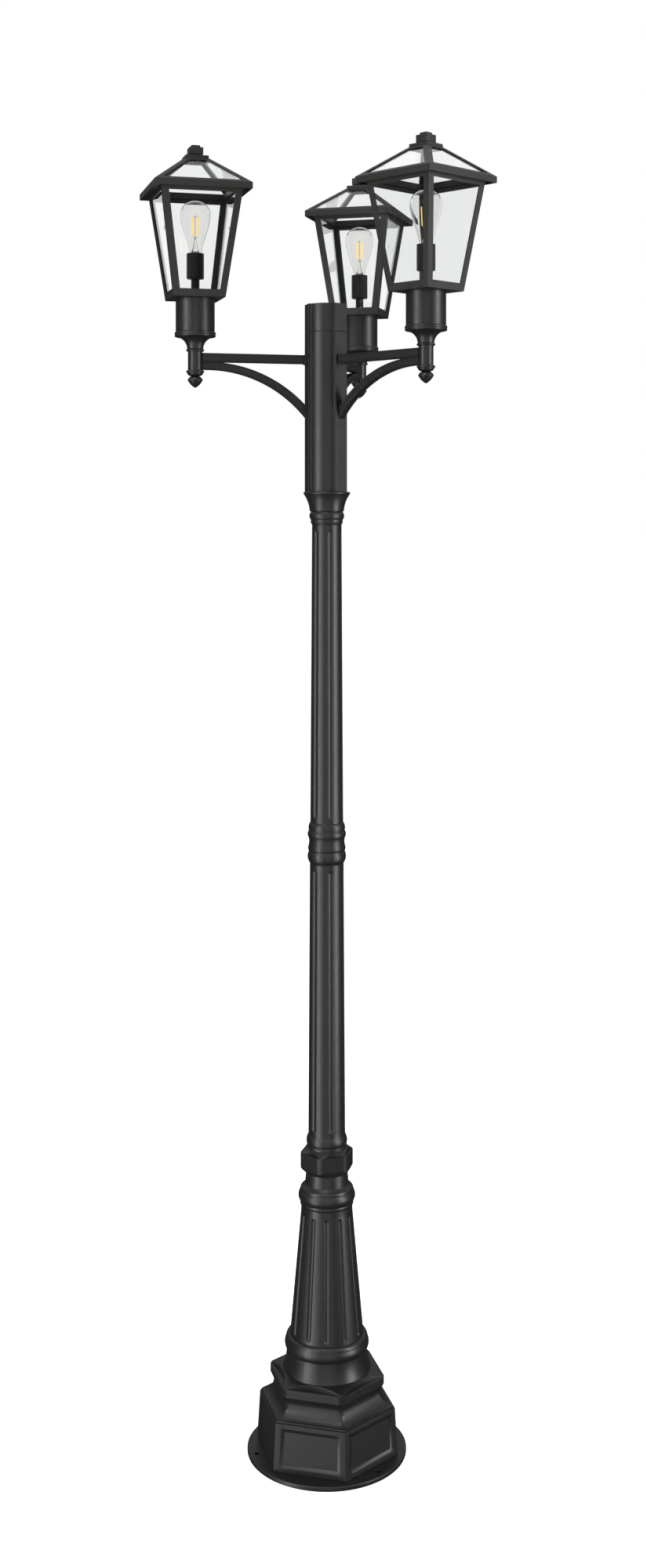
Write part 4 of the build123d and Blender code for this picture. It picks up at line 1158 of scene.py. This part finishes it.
STICK, WIRE, CORE = 1.0, 0.3, 0.5      # radii of the glowing sticks, their wires and the core
STICK_LOW, STICK_HIGH = (7, 0, bulb_seat + 38), (8.5, 0, bulb_seat + 76)
WIRE_LOW, WIRE_HIGH = (2.2, 0, bulb_seat + 30), (1.2, 0, bulb_seat + 79)
FOUR_ROUND = dict(copies=4, first_angle=45, weld=0.0001)
sticks = ring_of(rod(STICK_LOW, STICK_HIGH, STICK), **FOUR_ROUND)
side_pieces("filament", tidied(sticks), "bulb", "filament_amber")

ends = joined(rod(WIRE_LOW, STICK_LOW, WIRE), rod(STICK_HIGH, WIRE_HIGH, WIRE))
core = rod((0, 0, WIRE_LOW[2]), (0, 0, WIRE_HIGH[2] + CORE), CORE)
wires = joined(tidied(ring_of(ends, **FOUR_ROUND)), tidied(core))
side_pieces("filament_wires", wires, "bulb", "cap_nickel", replaced="filament")
mount = [(0, 0), (10, 0), (8.5, 3), (5, 12), (3.2, 26), (2.6, 33), (0, 34)]
mount = turned(risen(mount, bulb_seat), 32)
side_pieces("filament_mount", tidied(mount), "bulb", "bulb_glass", replaced="filament")

# hidden pieces keep their own shape
for node in ("foot_sleeve", "coupling_sleeve"):
    for place in frame["nodes"][node].material_slots:
        place.material = FINISHES["sleeve_steel"]

# ---- floor, world and lights --------------------------------------------------------------
FLOOR = 30
FLOOR_DROP = 0.0005                    # keeps the floor just clear of the plate
PAPER_GLOW = 0.9
corners = [(-FLOOR, -FLOOR, 0), (FLOOR, -FLOOR, 0), (FLOOR, FLOOR, 0), (-FLOOR, FLOOR, 0)]
floor = placed("floor", mesh_of(corners, [(0, 1, 2, 3)]))
floor.location.z = -FLOOR_DROP
paper, paper_node, shader, links = shader_material("floor_paper")
shader.inputs["Base Color"].default_value = (0.8, 0.8, 0.8, 1)
shader.inputs["Roughness"].default_value = 0.9
shader.inputs["Specular IOR Level"].default_value = 0.0
shader.inputs["Emission Color"].default_value = (1, 1, 1, 1)
straight, path = seen_straight(paper_node)
glow = maths(paper_node, "MULTIPLY", straight, PAPER_GLOW)
links.new(glow, shader.inputs["Emission Strength"])
floor.data.materials.append(paper)
# The paper doesn't stop light from the lower ends of the soft boxes, and isn't mirrored.
passing = maths(paper_node, "MAXIMUM", path["Is Shadow Ray"], path["Is Glossy Ray"])
clear = paper_node("ShaderNodeBsdfTransparent").outputs["BSDF"]
whole = paper_node("ShaderNodeMixShader", {0: passing, 1: shader.outputs["BSDF"], 2: clear})
links.new(whole.outputs["Shader"], paper.node_tree.nodes["Material Output"].inputs["Surface"])

# Straight and through glass the studio is white.  The coat mirrors dark walls and a paler ceiling;
# glass mirrors the white backdrop behind the post and the dark room in front of it.
CAMERA_TURN = 15.3
SOFT_LIGHT, DARK_WALL, PALE_CEILING, BACKDROP = 0.3, 0.05, 0.8, 0.95
FADE_FROM, FADE_TO = 0.1, 0.6          # where the dark goes over into the pale
world = bpy.data.worlds.new("studio")
bpy.context.scene.world = world
world.use_nodes = True
world.node_tree.nodes.clear()
sky = node_maker(world.node_tree)
seen_white, path = seen_straight(sky)
direction = sky("ShaderNodeTexCoord").outputs["Generated"]
height = sky("ShaderNodeSeparateXYZ", {0: direction}).outputs["Z"]
away = (-sin(radians(CAMERA_TURN)), cos(radians(CAMERA_TURN)), 0)
depth = sky("ShaderNodeVectorMath", {0: direction, 1: away}, operation="DOT_PRODUCT")


def faded(value, bright):
    """Dark to bright as a value goes through the fade."""
    spread = {"From Min": FADE_FROM, "From Max": FADE_TO, "To Min": DARK_WALL, "To Max": bright}
    return sky("ShaderNodeMapRange", {"Value": value, **spread}).outputs["Result"]


def chosen(factor, plain, other):
    return sky("ShaderNodeMix", {"Factor": factor, "A": plain, "B": other}).outputs["Result"]


ceiling = faded(height, PALE_CEILING)
backdrop = faded(depth.outputs["Value"], BACKDROP)
mirrored = chosen(path["Is Singular Ray"], ceiling, backdrop)
turned_ray = maths(sky, "MAXIMUM", path["Is Glossy Ray"], path["Is Transmission Ray"])
strength = chosen(turned_ray, SOFT_LIGHT, mirrored)
dim = sky("ShaderNodeBackground", {"Color": (1, 1, 1, 1), "Strength": strength}).outputs[0]
white = sky("ShaderNodeBackground", {"Color": (1, 1, 1, 1), "Strength": 1.0}).outputs[0]
blend = sky("ShaderNodeMixShader", {0: seen_white, 1: dim, 2: white}).outputs[0]
sky("ShaderNodeOutputWorld", {"Surface": blend})


def soft_light(name, azimuth, distance, height, size, radiance, aim_height=None):
    """Soft box, level if it aims at no height; its power follows from its (width, height)."""
    lamp = bpy.data.lights.new(name, "AREA")
    lamp.shape = "RECTANGLE"
    lamp.size, lamp.size_y = size
    lamp.energy = radiance * size[0] * size[1] * tau / 2
    shown = placed(name, lamp)
    turn = radians(CAMERA_TURN + azimuth)
    shown.location = (distance * sin(turn), -distance * cos(turn), height)
    aim = Vector((0, 0, height if aim_height is None else aim_height)) - Vector(shown.location)
    shown.rotation_euler = aim.to_track_quat("-Z", "Y").to_euler()
    return shown


def flag_off(lamps, slots):
    """Keep the lamps out of the pieces of these slots, as flags on stands would."""
    unlit = bpy.data.collections.new("flagged_glass")
    for shown in bpy.context.scene.objects:
        if shown.get("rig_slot") in slots:
            unlit.objects.link(shown)
    for lamp in lamps:
        lamp.light_linking.receiver_collection = unlit
    for entry in unlit.collection_objects:
        entry.light_linking.link_state = "EXCLUDE"


strips = [
    soft_light("left_strip", -54, 3.4, 0.8, (0.6, 5.4), 18.0),
    soft_light("right_strip", 66, 3.4, 1.7, (1.0, 4.2), 15.0),
]
fills = [
    soft_light("front_fill", 5, 4.5, 0.9, (2.4, 6.4), 1.5),
    soft_light("side_fill", -34, 3.6, 1.2, (0.9, 6.0), 3.0),
    soft_light("top_box", -25, 1.8, 5.6, (1.4, 1.4), 12.0, aim_height=1.4),
]
# The panes mirror no lamp, and the bulbs only the two strips.
flag_off(fills, ["clear_glass", "bulb_glass"])
flag_off(strips, ["clear_glass"])

# ---- camera -------------------------------------------------------------------------------
EYE_DISTANCE, EYE_HEIGHT = 3.803, 2.013
camera = bpy.data.cameras.new("camera")
camera.lens = 40.73
camera.sensor_width = 36
camera.shift_x = -0.0021
camera.shift_y = -0.175
camera.clip_end = 100
eye = placed("camera", camera)
eye_turn = radians(CAMERA_TURN)
eye.location = (EYE_DISTANCE * sin(eye_turn), -EYE_DISTANCE * cos(eye_turn), EYE_HEIGHT)
eye.rotation_euler = (tau / 4, 0, eye_turn)
bpy.context.scene.camera = eye
bpy.context.scene.view_settings.view_transform = "Standard"
